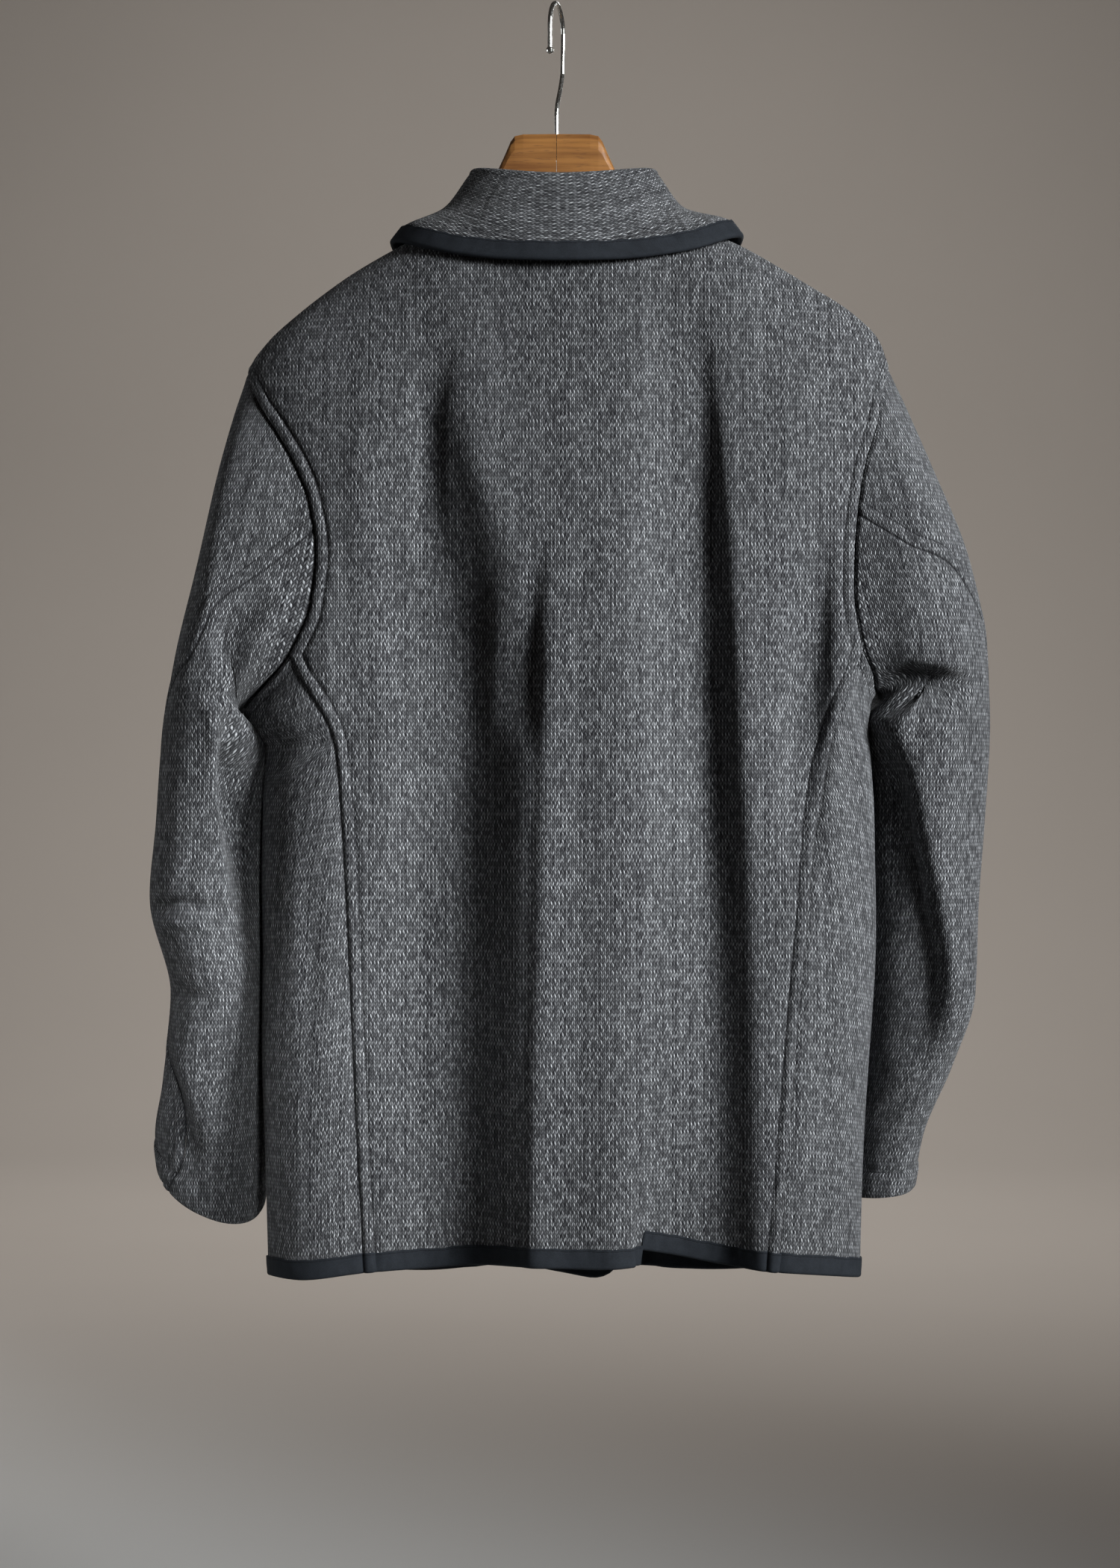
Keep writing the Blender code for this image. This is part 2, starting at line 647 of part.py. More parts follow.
def add_material(name, colour, roughness, metallic=0.0):
    material = bpy.data.materials.new(name)
    material.use_nodes = True
    shader = material.node_tree.nodes["Principled BSDF"]
    shader.inputs["Base Color"].default_value = (*colour, 1.0)
    shader.inputs["Roughness"].default_value = roughness
    shader.inputs["Metallic"].default_value = metallic
    return material


def add_loft(name, rings, material, cap_faces=None):
    """A closed skin over rings of points; the ends are one face each, or the given faces."""
    count = len(rings[0])
    caps = cap_faces or [tuple(range(count))]
    mesh = bmesh.new()
    verts = [[mesh.verts.new(p) for p in ring] for ring in rings]
    for low, high in zip(verts, verts[1:]):
        for k in range(count):
            n = (k + 1) % count
            mesh.faces.new([low[k], low[n], high[n], high[k]])
    for cap in caps:
        mesh.faces.new([verts[0][k] for k in reversed(cap)])
        mesh.faces.new([verts[-1][k] for k in cap])
    return add_object(name, mesh, material)


# Sleeves

def sleeve_turns(side):
    """Turns round the armhole at which the sleeve's columns start, from the underarm over the back."""
    front = front_hole_turns()[::-1] + 2 * math.pi
    bottom = bottom_hole_turns(side)[::-1]
    return np.concatenate((bottom[:-1], back_hole_turns(side), front[1:]))


def sleeve_knots(side):
    """How far along the sleeve each section lies, from the armhole's middle to the cuff."""
    rows = np.array(SLEEVES[side])
    middles = np.stack(((rows[:, 0] + rows[:, 2]) / 2, rows[:, 4], (rows[:, 1] + rows[:, 3]) / 2), axis=-1)
    turns = np.linspace(0, 2 * math.pi, 24, endpoint=False)
    start = torso(armhole_around(side, turns), armhole_height(side, turns)).mean(axis=0)
    steps = np.linalg.norm(np.diff(np.concatenate((start[None], middles)), axis=0), axis=1)
    length = np.concatenate(([0.0], np.cumsum(steps)))
    return length / length[-1]


def sleeve_section(row, turn):
    at = dict(zip(SLEEVE_COLUMNS, row))
    inner = np.array((at["inner_x"], at["middle_y"], at["inner_z"]))
    outer = np.array((at["outer_x"], at["middle_y"], at["outer_z"]))
    c = signed_power(np.cos(turn), 2 / SLEEVE_SQUARE)
    s = signed_power(np.sin(turn), 2 / SLEEVE_SQUARE)
    inwards = c - at["lean"] * np.clip(np.sin(turn), 0.0, 1.0) ** 2
    back = np.array((0.0, -at["depth"], -at["tilt"]))
    return (inner + outer) / 2 + (inner - outer) / 2 * inwards[:, None] + back * s[:, None]


def sleeve(side, along, turn):
    """Points on one row of a sleeve: one place along it, many turns round it."""
    sections = [torso(armhole_around(side, turn), armhole_height(side, turn))]
    sections += [sleeve_section(row, turn) for row in SLEEVES[side]]
    return smooth_through(sleeve_knots(side), np.array(sections), np.array([along]))[0]


def sleeve_row(side, along, turn):
    """A row's points with their normals."""
    small = 1e-3
    round_way = sleeve(side, along, turn + small) - sleeve(side, along, turn - small)
    down_way = sleeve(side, min(along + small, 1.0), turn) - sleeve(side, max(along - small, 0.0), turn)
    return sleeve(side, along, turn), unit(np.cross(down_way, round_way)) * SIDE_SIGN[side]


def armhole_way(side, turn):
    """The wall's direction at the armhole, halfway between the body's normal and the sleeve's."""
    body = torso_normal(armhole_around(side, turn), armhole_height(side, turn))
    arm = sleeve_row(side, ARMHOLE_STEP, turn)[1]
    level = 1 + np.sum(body * arm, axis=-1, keepdims=True)
    return (body + arm) / np.maximum(level, SEAM_BISECT)


def seam_turn(name, along):
    knots = column(SLEEVE_SEAMS, SLEEVE_SEAM_COLUMNS, "along")
    return math.radians(float(smooth_through(knots, column(SLEEVE_SEAMS, SLEEVE_SEAM_COLUMNS, name), along)))


def sleeve_piece(side, piece):
    """A sleeve's top or under piece, between the back and front seams."""
    starts = sleeve_turns(side)
    back_at = int(np.argmin(np.abs(starts - seam_turn(f"{side}_back", 0.0))))
    front_at = int(np.argmin(np.abs(starts - seam_turn(f"{side}_front", 0.0))))
    if piece == "top":
        first = starts[back_at:front_at + 1]
    else:
        first = np.concatenate((starts[front_at:] - 2 * math.pi, starts[1:back_at + 1]))
    alongs = np.linspace(0.0, 1.0, SLEEVE_ROWS + 1) ** SLEEVE_BUNCH
    spread = (first - first[0]) / (first[-1] - first[0])
    points = []
    normals = []
    for along in alongs:
        back = seam_turn(f"{side}_back", along)
        front = seam_turn(f"{side}_front", along)
        low, high = (back, front) if piece == "top" else (front - 2 * math.pi, back)
        settle = float(ease(0.0, SEAM_SETTLE, along))
        turns = first * (1 - settle) + (low + (high - low) * spread) * settle
        row_points, row_normals = sleeve_row(side, float(along), turns)
        row_normals = armhole_way(side, turns) if along == 0.0 else row_normals
        points.append(row_points)
        normals.append(row_normals)
    return np.array(points), np.array(normals)


# Collar

def ring_height(at, around):
    """A collar ring's height: level behind, dropping past the sides to the front."""
    forward = np.clip(1 - np.abs(around - 0.25) / 0.25, 0.0, 1.0)
    behind = np.clip(1 - np.abs(around - 0.75) / 0.25, 0.0, 1.0)
    front_drop = (at["front_height"] - at["side_height"]) * forward ** COLLAR_FRONT_CURVE
    back_drop = (at["back_height"] - at["side_height"]) * ease(0.0, 1.0, behind)
    return at["side_height"] + front_drop + back_drop


def collar_ring(row, around):
    at = dict(zip(COLLAR_COLUMNS, row))
    c = np.cos(2 * math.pi * around)
    s = np.sin(2 * math.pi * around)
    x = np.where(c < 0, at["left"], at["right"]) * c
    y = np.where(s < 0, at["back"], at["front"]) * s
    return np.stack((x, y, ring_height(at, around)), axis=-1)


def neckline(around):
    forward = np.clip(1 - np.abs(around - 0.25) / 0.25, 0.0, 1.0)
    drop = np.clip(NECK_FRONT_DROP * forward ** 2 - NECK_POINT, 0.0, None)
    return torso(around, NECK_HEIGHT - drop)


def torso_reach(points):
    """How far out of the torso each point is, as a share of the section at its height."""
    x, y, height = np.moveaxis(points, -1, 0)
    wide = np.where(x < 0, torso_size(height, "left"), torso_size(height, "right"))
    deep = np.where(y < 0, torso_size(height, "back"), torso_size(height, "front"))
    power = torso_size(height, "square")
    return (np.abs(x / wide) ** power + np.abs(y / deep) ** power) ** (1 / power) - 1


def lifted_off(points, clear):
    """Points moved out of the torso where they are nearer than the clearance."""
    over_lap = ease(LAP_START, LAP_FULL, points[:, 0])
    over_lap *= 1 - ease(LEFT_LAP, LEFT_LAP + TAPE_WIDTH, points[:, 0])
    clear = clear + LAP_STEP * over_lap * (points[:, 1] > 0)
    moved = points.copy()
    small = 1e-5
    for _ in range(6):
        reach = torso_reach(moved)
        slope = np.stack([(torso_reach(moved + step) - reach) / small for step in np.eye(3) * small], axis=-1)
        steep = np.linalg.norm(slope, axis=-1)
        short = np.clip(clear - reach / steep, 0.0, None)
        moved += slope / steep[:, None] * short[:, None]
    return moved


def collar_sheet():
    """Rows from the stand's foot over the crease to the fall's edge; the neck side of the stand shows."""
    end = COLLAR_END / 360.0
    around = np.linspace(0.25 + end, 1.25 - end, COLLAR_ACROSS + 1)
    place = np.where(around > 1.0, around - 1.0, around)
    foot = neckline(place)
    crease = collar_ring(CREASE_RING, place)
    edge = collar_ring(FALL_RING, place)
    outwards = edge - foot
    outwards[:, 2] = 0.0
    outwards = unit(outwards)
    up = np.array((0.0, 0.0, 1.0))
    inset = CLOTH + STAND_INSET * ease(0.0, STAND_INSET_REACH, foot[:, 1:2])
    stand_foot = foot - outwards * inset + up * STAND_LIFT
    middle = crease - up * CREASE_ROUND
    rows = [stand_foot, (stand_foot + middle - outwards * CREASE_ROUND) / 2]
    for turn in np.linspace(math.pi, 0.0, CREASE_STEPS + 1):
        rows.append(middle + (outwards * math.cos(turn) + up * math.sin(turn)) * CREASE_ROUND)
    start = rows[-1]
    length = np.linalg.norm(edge - start, axis=-1, keepdims=True)
    tape_share = 1 - HEM_ROW / length
    tape_row = start + (edge - start) * tape_share
    half_row = (start + tape_row) / 2 + (outwards + up) * FALL_SWELL
    shifts = [lifted_off(row, FALL_CLEAR) - row for row in (tape_row, edge)]
    farther = np.linalg.norm(shifts[0], axis=-1) > np.linalg.norm(shifts[1], axis=-1)
    shift = np.where(farther[:, None], shifts[0], shifts[1])
    rows += [lifted_off(half_row, FALL_CLEAR), tape_row + shift, edge + shift]
    points = np.array(rows)
    down_way = np.gradient(points, axis=0)
    along_way = np.gradient(points, axis=1)
    return points, unit(np.cross(along_way, down_way)) * -1.0


# Tape

def add_tape(name, edge, normals, inwards, material):
    """Tape folded over a cloth's edge, with a leg on each face."""
    out_near = TAPE_GAP
    out_far = TAPE_GAP + TAPE
    in_near = -CLOTH - TAPE_GAP
    in_far = in_near - TAPE
    past_near = -TAPE_GAP
    past_far = past_near - TAPE
    section = ((out_far, past_far), (out_far, TAPE_WIDTH), (out_near, TAPE_WIDTH), (out_near, past_near),
               (in_near, past_near), (in_near, TAPE_WIDTH), (in_far, TAPE_WIDTH), (in_far, past_far))
    path = edge.copy()
    path[0] += unit(edge[1] - edge[0]) * SEAM_GAP
    path[-1] += unit(edge[-2] - edge[-1]) * SEAM_GAP
    rings = [[p + n * out + u * past for out, past in section] for p, n, u in zip(path, normals, inwards)]
    return add_loft(name, rings, material, cap_faces=[(0, 1, 2, 3), (0, 3, 4, 7), (4, 5, 6, 7)])


def front_tape_path(points, normals):
    """A front's edge along the hem and up the lap, with the way into the cloth at each point."""
    hem_in = unit(points[1] - points[0])
    lap_in = unit(points[1:, -2] - points[1:, -1])
    hem_in[-1] = unit(hem_in[-2] + lap_in[0])
    edge = np.concatenate((points[0], points[1:, -1]))
    inwards = np.concatenate((hem_in, lap_in))
    edge_normals = np.concatenate((normals[0], normals[1:, -1]))
    last = len(points[0]) + int(np.sum(points[1:, -1, 2] < NECK_HEIGHT - NECK_FRONT_DROP - TAPE_WIDTH))
    return edge[:last], edge_normals[:last], inwards[:last]


# Hard pieces

def ridge_height_at(side, out):
    heights = column(TORSO, TORSO_COLUMNS, "height")
    halves = column(TORSO, TORSO_COLUMNS, side)
    top = heights > SHOULDER[side] - 0.02
    return float(np.interp(out, halves[top][::-1], heights[top][::-1]))


def hanger_rings(side):
    """Rounded sections of one half of the hanger, from the split to the arm's end."""
    sign = SIDE_SIGN[side]
    rows = [dict(zip(HANGER_COLUMNS, row)) for row in HANGER_NECK]
    for out, thick, tall, drop in zip(HANGER_ARM_OUT, HANGER_ARM_THICK, HANGER_ARM_TALL, HANGER_END_DROP):
        place = max(out, HANGER_NECK_REACH) + sign * HANGER_SPLIT
        top = ridge_height_at(side, place) - HANGER_SEAT - drop
        top = top if out > HANGER_NECK_REACH else HANGER_FLARE_TOP
        rows.append({"out": out, "top": top, "bottom": top - tall, "thick": thick})
    turns = np.linspace(0.0, 2 * math.pi, RING_POINTS, endpoint=False)
    rings = []
    for row in rows:
        x = HANGER_SPLIT + sign * (row["out"] + SEAM_GAP / 2)
        y = row["thick"] * signed_power(np.cos(turns), 2 / HANGER_SQUARE)
        middle = (row["top"] + row["bottom"]) / 2
        z = middle + (row["top"] - row["bottom"]) / 2 * signed_power(np.sin(turns), 2 / HANGER_SQUARE)
        rings.append([(x, y_at, z_at) for y_at, z_at in zip(y, z)])
    return rings


def cut_with(thing, cutter):
    cutter.hide_render = True
    cutter.display_type = "WIRE"
    cut = thing.modifiers.new("cut", "BOOLEAN")
    cut.operation = "DIFFERENCE"
    cut.object = cutter


def rod_rings(points, radii, count):
    """Round rings along a path, turned as little as possible from one to the next."""
    path = [Vector(p) for p in points]
    side_way = Vector((1.0, 0.0, 0.0))
    rings = []
    for k, point in enumerate(path):
        ahead = path[min(k + 1, len(path) - 1)] - path[max(k - 1, 0)]
        side_way = (side_way - ahead * side_way.dot(ahead) / ahead.length_squared).normalized()
        other = ahead.normalized().cross(side_way)
        turns = [2 * math.pi * i / count for i in range(count)]
        rings.append([point + (side_way * math.cos(t) + other * math.sin(t)) * radii[k] for t in turns])
    return rings


def hook_path():
    """The wire's middle line, with its radius at each point; the ball closes the tip."""
    stem = np.array(HOOK_STEM)
    knots = np.arange(len(stem), dtype=float)
    ways = [tuple(smooth_through(knots, stem, np.array([t]))[0]) for t in np.arange(0, len(stem) - 0.99, 0.5)]
    centre = WIRE_RADIUS - HOOK_RADIUS
    for turn in np.radians(np.arange(-6.0, 186.0, 12.0)):
        ways.append((HOOK_RADIUS * math.cos(turn), centre + HOOK_RADIUS * math.sin(turn)))
    tip = ways[-1]
    ways.append((tip[0], tip[1] - HOOK_TIP_DROP))
    radii = [WIRE_RADIUS] * len(ways)
    ball = ways[-1]
    for share in BALL_SHARES:
        ways.append((ball[0], ball[1] - BALL_RADIUS * (1 + share)))
        radii.append(BALL_RADIUS * math.sqrt(1 - share * share))
    return [(HANGER_SPLIT + HOOK_SLANT * out, out, height) for out, height in ways], radii


def add_cylinder(name, bottom, top, radius, count, material):
    return add_loft(name, rod_rings((bottom, top), (radius, radius), count), material)


def button_rings():
    turns = [2 * math.pi * i / BUTTON_POINTS for i in range(BUTTON_POINTS)]
    rings = []
    for share, height in BUTTON_PROFILE:
        radius = BUTTON_RADIUS * share
        rings.append([(radius * math.cos(t), radius * math.sin(t), BUTTON_THICK * height) for t in turns])
    return rings


def add_button(name, place, normal, material, cutters):
    button = add_loft(name, button_rings(), material)
    button.location = place
    button.rotation_mode = "QUATERNION"
    button.rotation_quaternion = Vector(normal).to_track_quat("Z", "Y")
    for cutter in cutters:
        hole = cutter.copy()
        hole.parent = button
        bpy.context.collection.objects.link(hole)
        cut_with(button, hole)
    return button


def build_cloth(wool, twill):
    points, normals = torso_sheet(back_sheet())
    hole_rows = slice(LOW_ROWS, LOW_ROWS + HOLE_BACK_ROWS + 1)
    normals[hole_rows, 0] = armhole_way("left", back_hole_turns("left"))
    normals[hole_rows, -1] = armhole_way("right", back_hole_turns("right"))
    add_wall("back", points, normals, wool)
    add_tape("binding_back", points[0], normals[0], unit(points[1] - points[0]), twill)
    for side in ("left", "right"):
        points, normals = torso_sheet(front_sheet(side))
        if side == "left":
            points = lap_over(points, normals)
        normals[LOW_ROWS, :FRONT_SIDE + 1] = armhole_way(side, bottom_hole_turns(side))
        normals[LOW_ROWS:LOW_ROWS + HOLE_FRONT_ROWS + 1, FRONT_SIDE] = armhole_way(side, front_hole_turns())
        add_wall(f"front_{side}", points, normals, wool,
                 present=lambda i, j: i < LOW_ROWS or j >= FRONT_SIDE)
        edge, edge_normals, inwards = front_tape_path(points, normals)
        add_tape(f"binding_front_{side}", edge, edge_normals, inwards, twill)
        for piece in ("top", "under"):
            add_wall(f"sleeve_{side}_{piece}", *sleeve_piece(side, piece), wool)
    points, normals = collar_sheet()
    add_wall("collar", points, normals, wool)
    add_tape("binding_collar", points[-1], normals[-1], unit(points[-2] - points[-1]), twill)


def build_hanger(wood, steel):
    wood_top = HANGER_NECK[0][1]
    socket_top = (HANGER_SPLIT, 0.0, wood_top + SOCKET_DEPTH)
    socket_foot = (HANGER_SPLIT, 0.0, wood_top - SOCKET_DEPTH)
    for side in ("left", "right"):
        half = add_loft(f"hanger_{side}", hanger_rings(side), wood)
        cutter = add_cylinder(f"socket_{side}", socket_foot, socket_top, WIRE_RADIUS + SOCKET_CLEAR,
                              WIRE_POINTS, wood)
        cut_with(half, cutter)
    points, radii = hook_path()
    add_loft("hook", rod_rings(points, radii, WIRE_POINTS), steel)


def build_buttons(horn):
    holes = []
    for k in range(BUTTON_HOLES):
        turn = (k + 0.5) * 2 * math.pi / BUTTON_HOLES
        x = BUTTON_HOLE_OUT * math.cos(turn)
        y = BUTTON_HOLE_OUT * math.sin(turn)
        holes.append(add_cylinder(f"hole_{k}", (x, y, -BUTTON_THICK), (x, y, 2 * BUTTON_THICK),
                                  BUTTON_HOLE_RADIUS, HOLE_POINTS, horn))
    for k in range(BUTTON_COUNT):
        height = np.array(BUTTON_TOP - k * BUTTON_STEP)
        around = around_at("right", "front", BUTTON_LINE, height)
        points, normals = torso_sheet(np.stack((around, height), axis=-1)[None, None])
        place = lap_over(points, normals)[0, 0] + normals[0, 0] * BUTTON_GAP
        add_button(f"button_{k + 1}", place, normals[0, 0], horn, holes)
    for hole in holes:
        hole.hide_render = True
        hole.display_type = "WIRE"


def main():
    clear_scene()
    wool = add_material("marled_wool", (0.13, 0.13, 0.14), 0.95)
    twill = add_material("twill_tape", (0.015, 0.018, 0.022), 0.85)
    wood = add_material("varnished_wood", (0.30, 0.14, 0.05), 0.40)
    steel = add_material("steel_wire", (0.62, 0.61, 0.58), 0.25, 1.0)
    horn = add_material("dark_button", (0.02, 0.018, 0.016), 0.45)
    build_cloth(wool, twill)
    build_hanger(wood, steel)
    build_buttons(horn)


main()
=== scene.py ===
# %% [markdown]
# # A knitted work jacket on its wooden hanger
# The frame gives every piece as a plain thin solid. This lesson dresses it: each cloth panel becomes a
# fine shell on the same form, with folds, felled seams and a knit that follows the cloth. We load the
# frame first.

# %% The imported frame
import math

import bpy
import numpy as np
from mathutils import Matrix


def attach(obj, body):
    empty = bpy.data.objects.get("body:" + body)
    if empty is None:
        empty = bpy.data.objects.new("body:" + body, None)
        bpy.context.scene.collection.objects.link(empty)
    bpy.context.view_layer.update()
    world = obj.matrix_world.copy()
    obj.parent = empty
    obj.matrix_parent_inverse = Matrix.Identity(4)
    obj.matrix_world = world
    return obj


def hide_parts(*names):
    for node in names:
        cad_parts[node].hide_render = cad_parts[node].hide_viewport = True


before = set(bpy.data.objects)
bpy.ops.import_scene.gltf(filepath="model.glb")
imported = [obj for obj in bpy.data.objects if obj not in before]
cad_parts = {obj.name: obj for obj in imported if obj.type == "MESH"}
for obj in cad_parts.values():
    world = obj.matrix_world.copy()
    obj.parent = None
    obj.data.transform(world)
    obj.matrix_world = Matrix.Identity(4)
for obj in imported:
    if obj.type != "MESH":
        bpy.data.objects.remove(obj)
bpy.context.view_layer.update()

# %% [markdown]
# ## Small tools for curves
# A tailor draws a pattern through a few measured marks. We do the same: short tables hold the marks, and
# one function draws a smooth line through them. A spline object could do it too, but plain numbers can be
# asked for at any place, which the folds and seams need.

# %% Curves through marks
def marks(columns, *rows):
    """A short table as one array for each named column."""
    return dict(zip(columns.split(), np.array(rows, dtype=float).T))


def smooth_through(knots, values, at):
    """A smooth curve through a few given values, without overshoot."""
    knots = np.asarray(knots, dtype=float)
    values = np.asarray(values, dtype=float)
    at = np.asarray(at, dtype=float)
    shape = (-1,) + (1,) * (values.ndim - 1)
    rise = np.diff(values, axis=0) / np.diff(knots).reshape(shape)
    slope = np.zeros_like(values)
    product = rise[1:] * rise[:-1]
    total = np.where(product > 0, rise[1:] + rise[:-1], 1.0)
    slope[1:-1] = np.where(product > 0, 2.0 * product / total, 0.0)
    slope[0] = rise[0]
    slope[-1] = rise[-1]
    place = np.clip(np.searchsorted(knots, at) - 1, 0, len(knots) - 2)
    span = np.diff(knots)[place]
    t = np.clip((at - knots[place]) / span, 0.0, 1.0)
    t = t.reshape(t.shape + (1,) * (values.ndim - 1))
    span = span.reshape(t.shape)
    keep = (1 + 2 * t) * (1 - t) ** 2 * values[place] + t ** 2 * (3 - 2 * t) * values[place + 1]
    lean = t * (1 - t) ** 2 * slope[place] + t ** 2 * (t - 1) * slope[place + 1]
    return keep + span * lean


def ease(low, high, at):
    t = np.clip((at - low) / (high - low), 0.0, 1.0)
    return t * t * (3 - 2 * t)


def signed_power(value, power):
    return np.sign(value) * np.abs(value) ** power


def unit(vectors):
    return vectors / np.maximum(np.linalg.norm(vectors, axis=-1, keepdims=True), 1e-12)


def lengths_along(points, axis):
    """How far each point of a grid lies along its row or column."""
    steps = np.linalg.norm(np.diff(points, axis=axis), axis=-1)
    start = np.zeros_like(np.take(steps, [0], axis=axis))
    return np.concatenate((start, np.cumsum(steps, axis=axis)), axis=axis)


print("halfway through three marks:", smooth_through((0, 1, 2), (0.0, 1.0, 4.0), 0.5))


# %% [markdown]
# ## The torso's form
# The body of the jacket is a stack of rounded sections from the hem up to the neck, with long soft folds
# hanging in the back and the fronts. These are the part's own sizes, repeated here because this script
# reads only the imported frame. Every body panel takes its points from this one form, so panels meet
# exactly at their seams.

# %% Torso sections and long folds
TORSO = marks(
    "height left right back front square",
    (-0.960, 0.2095, 0.2150, 0.098, 0.108, 2.7),
    (-0.861, 0.2125, 0.2170, 0.097, 0.106, 2.7),
    (-0.753, 0.2145, 0.2230, 0.095, 0.104, 2.7),
    (-0.645, 0.2150, 0.2270, 0.093, 0.101, 2.6),
    (-0.591, 0.2135, 0.2265, 0.092, 0.099, 2.6),
    (-0.537, 0.2125, 0.2235, 0.091, 0.097, 2.5),
    (-0.523, 0.2240, 0.2225, 0.091, 0.097, 2.5),
    (-0.510, 0.2280, 0.2240, 0.090, 0.096, 2.5),
    (-0.496, 0.2300, 0.2275, 0.090, 0.095, 2.5),
    (-0.483, 0.2330, 0.2330, 0.090, 0.094, 2.5),
    (-0.407, 0.2390, 0.2400, 0.087, 0.090, 2.4),
    (-0.320, 0.2370, 0.2440, 0.082, 0.084, 2.4),
    (-0.266, 0.2256, 0.2380, 0.074, 0.075, 2.4),
    (-0.2445, 0.2121, 0.2315, 0.070, 0.071, 2.4),
    (-0.2229, 0.1899, 0.2121, 0.067, 0.068, 2.3),
    (-0.2012, 0.1596, 0.1791, 0.064, 0.065, 2.3),
    (-0.1796, 0.1210, 0.1400, 0.060, 0.062, 2.2),
    (-0.1634, 0.0910, 0.1020, 0.057, 0.060, 2.2),
    (-0.1520, 0.0745, 0.0795, 0.055, 0.058, 2.2))
FOLD_COLUMNS = "height place left right depth lean"
BACK_FOLDS = {
    "left trough": marks(
        FOLD_COLUMNS,
        (-0.960, -0.074, 0.122, 0.060, 0.0440, 0.006),
        (-0.700, -0.078, 0.122, 0.064, 0.0430, 0.006),
        (-0.560, -0.078, 0.118, 0.066, 0.0400, 0.005),
        (-0.485, -0.080, 0.098, 0.078, 0.0360, 0.004),
        (-0.410, -0.086, 0.082, 0.060, 0.0260, 0.002),
        (-0.300, -0.090, 0.055, 0.030, 0.0100, 0.000),
        (-0.215, -0.086, 0.045, 0.028, 0.0000, 0.000)),
    "right trough": marks(
        FOLD_COLUMNS,
        (-0.960, 0.108, 0.070, 0.042, 0.0250, 0.004),
        (-0.700, 0.104, 0.070, 0.040, 0.0260, 0.004),
        (-0.537, 0.101, 0.065, 0.032, 0.0270, 0.004),
        (-0.410, 0.097, 0.058, 0.030, 0.0220, 0.002),
        (-0.300, 0.092, 0.050, 0.028, 0.0090, 0.000),
        (-0.215, 0.090, 0.040, 0.025, 0.0000, 0.000)),
    "armhole trough": marks(
        FOLD_COLUMNS,
        (-0.640, 0.180, 0.034, 0.024, 0.0000, 0.000),
        (-0.560, 0.178, 0.032, 0.026, 0.0050, 0.000),
        (-0.500, 0.174, 0.032, 0.026, 0.0085, 0.000),
        (-0.420, 0.172, 0.030, 0.024, 0.0065, 0.000),
        (-0.320, 0.172, 0.026, 0.020, 0.0000, 0.000)),
    "hem pleat": marks(
        FOLD_COLUMNS,
        (-0.960, 0.066, 0.032, 0.070, 0.0110, -0.004),
        (-0.860, 0.066, 0.034, 0.065, 0.0060, -0.002),
        (-0.780, 0.066, 0.034, 0.060, 0.0000, 0.000)),
}
FRONT_FOLDS = {
    "left front trough": marks(
        FOLD_COLUMNS,
        (-0.960, -0.100, 0.070, 0.055, 0.0240, 0.000),
        (-0.700, -0.105, 0.065, 0.050, 0.0220, 0.000),
        (-0.450, -0.115, 0.055, 0.045, 0.0140, 0.000),
        (-0.280, -0.120, 0.040, 0.040, 0.0000, 0.000)),
    "right front trough": marks(
        FOLD_COLUMNS,
        (-0.960, 0.108, 0.055, 0.065, 0.0200, 0.000),
        (-0.700, 0.112, 0.050, 0.060, 0.0180, 0.000),
        (-0.480, 0.118, 0.045, 0.055, 0.0120, 0.000),
        (-0.300, 0.125, 0.040, 0.040, 0.0000, 0.000)),
}
FOLD_FADE = (0.25, 0.70)
HEM_HEIGHT = -0.919
HEM_BACK_RISE = 0.013
HEM_FRONT_DROP = 0.005
HEM_FADE = 0.150
NECK_HEIGHT = -0.152
QUARTER = 0.25
TYPICAL_WIDE = 0.22
TYPICAL_DEEP = 0.09
TYPICAL_POWER = 0.8
TYPICAL_STEPS = 2881


def torso_size(height, name):
    return smooth_through(TORSO["height"], TORSO[name], height)


def even_turns():
    """Turns round a typical section, with the share of its length that each one reaches."""
    turns = np.linspace(0.0, 2 * math.pi, TYPICAL_STEPS)
    x = TYPICAL_WIDE * signed_power(np.cos(turns), TYPICAL_POWER)
    y = TYPICAL_DEEP * signed_power(np.sin(turns), TYPICAL_POWER)
    length = np.concatenate(([0.0], np.cumsum(np.hypot(np.diff(x), np.diff(y)))))
    return turns, length / length[-1]


EVEN_TURNS, EVEN_SHARES = even_turns()


def around_at(side, face, across, height):
    """The place round the torso of a point that far from the centre: 0 is the right side, then 0.25 the
    front, 0.5 the left side and 0.75 the back; the right half of the back is counted below 0."""
    half = torso_size(height, side)
    turn = np.arccos(np.clip(np.abs(across) / half, 0.0, 1.0) ** (torso_size(height, "square") / 2))
    share = np.interp(turn, EVEN_TURNS, EVEN_SHARES)
    share = share if face == "front" else -share
    return share if side == "right" else 0.5 - share


def fold_push(folds, x, height):
    """How far the folds move a point inwards and sideways."""
    inwards = np.zeros_like(x)
    sideways = np.zeros_like(x)
    for fold in folds.values():
        at = {name: smooth_through(fold["height"], fold[name], height) for name in fold}
        away = x - at["place"]
        t = np.clip(away / np.where(away < 0, at["left"], at["right"]), -1.0, 1.0)
        swell = 0.5 * (1 + np.cos(math.pi * t))
        inwards += at["depth"] * swell
        sideways += at["lean"] * swell
    return inwards, sideways


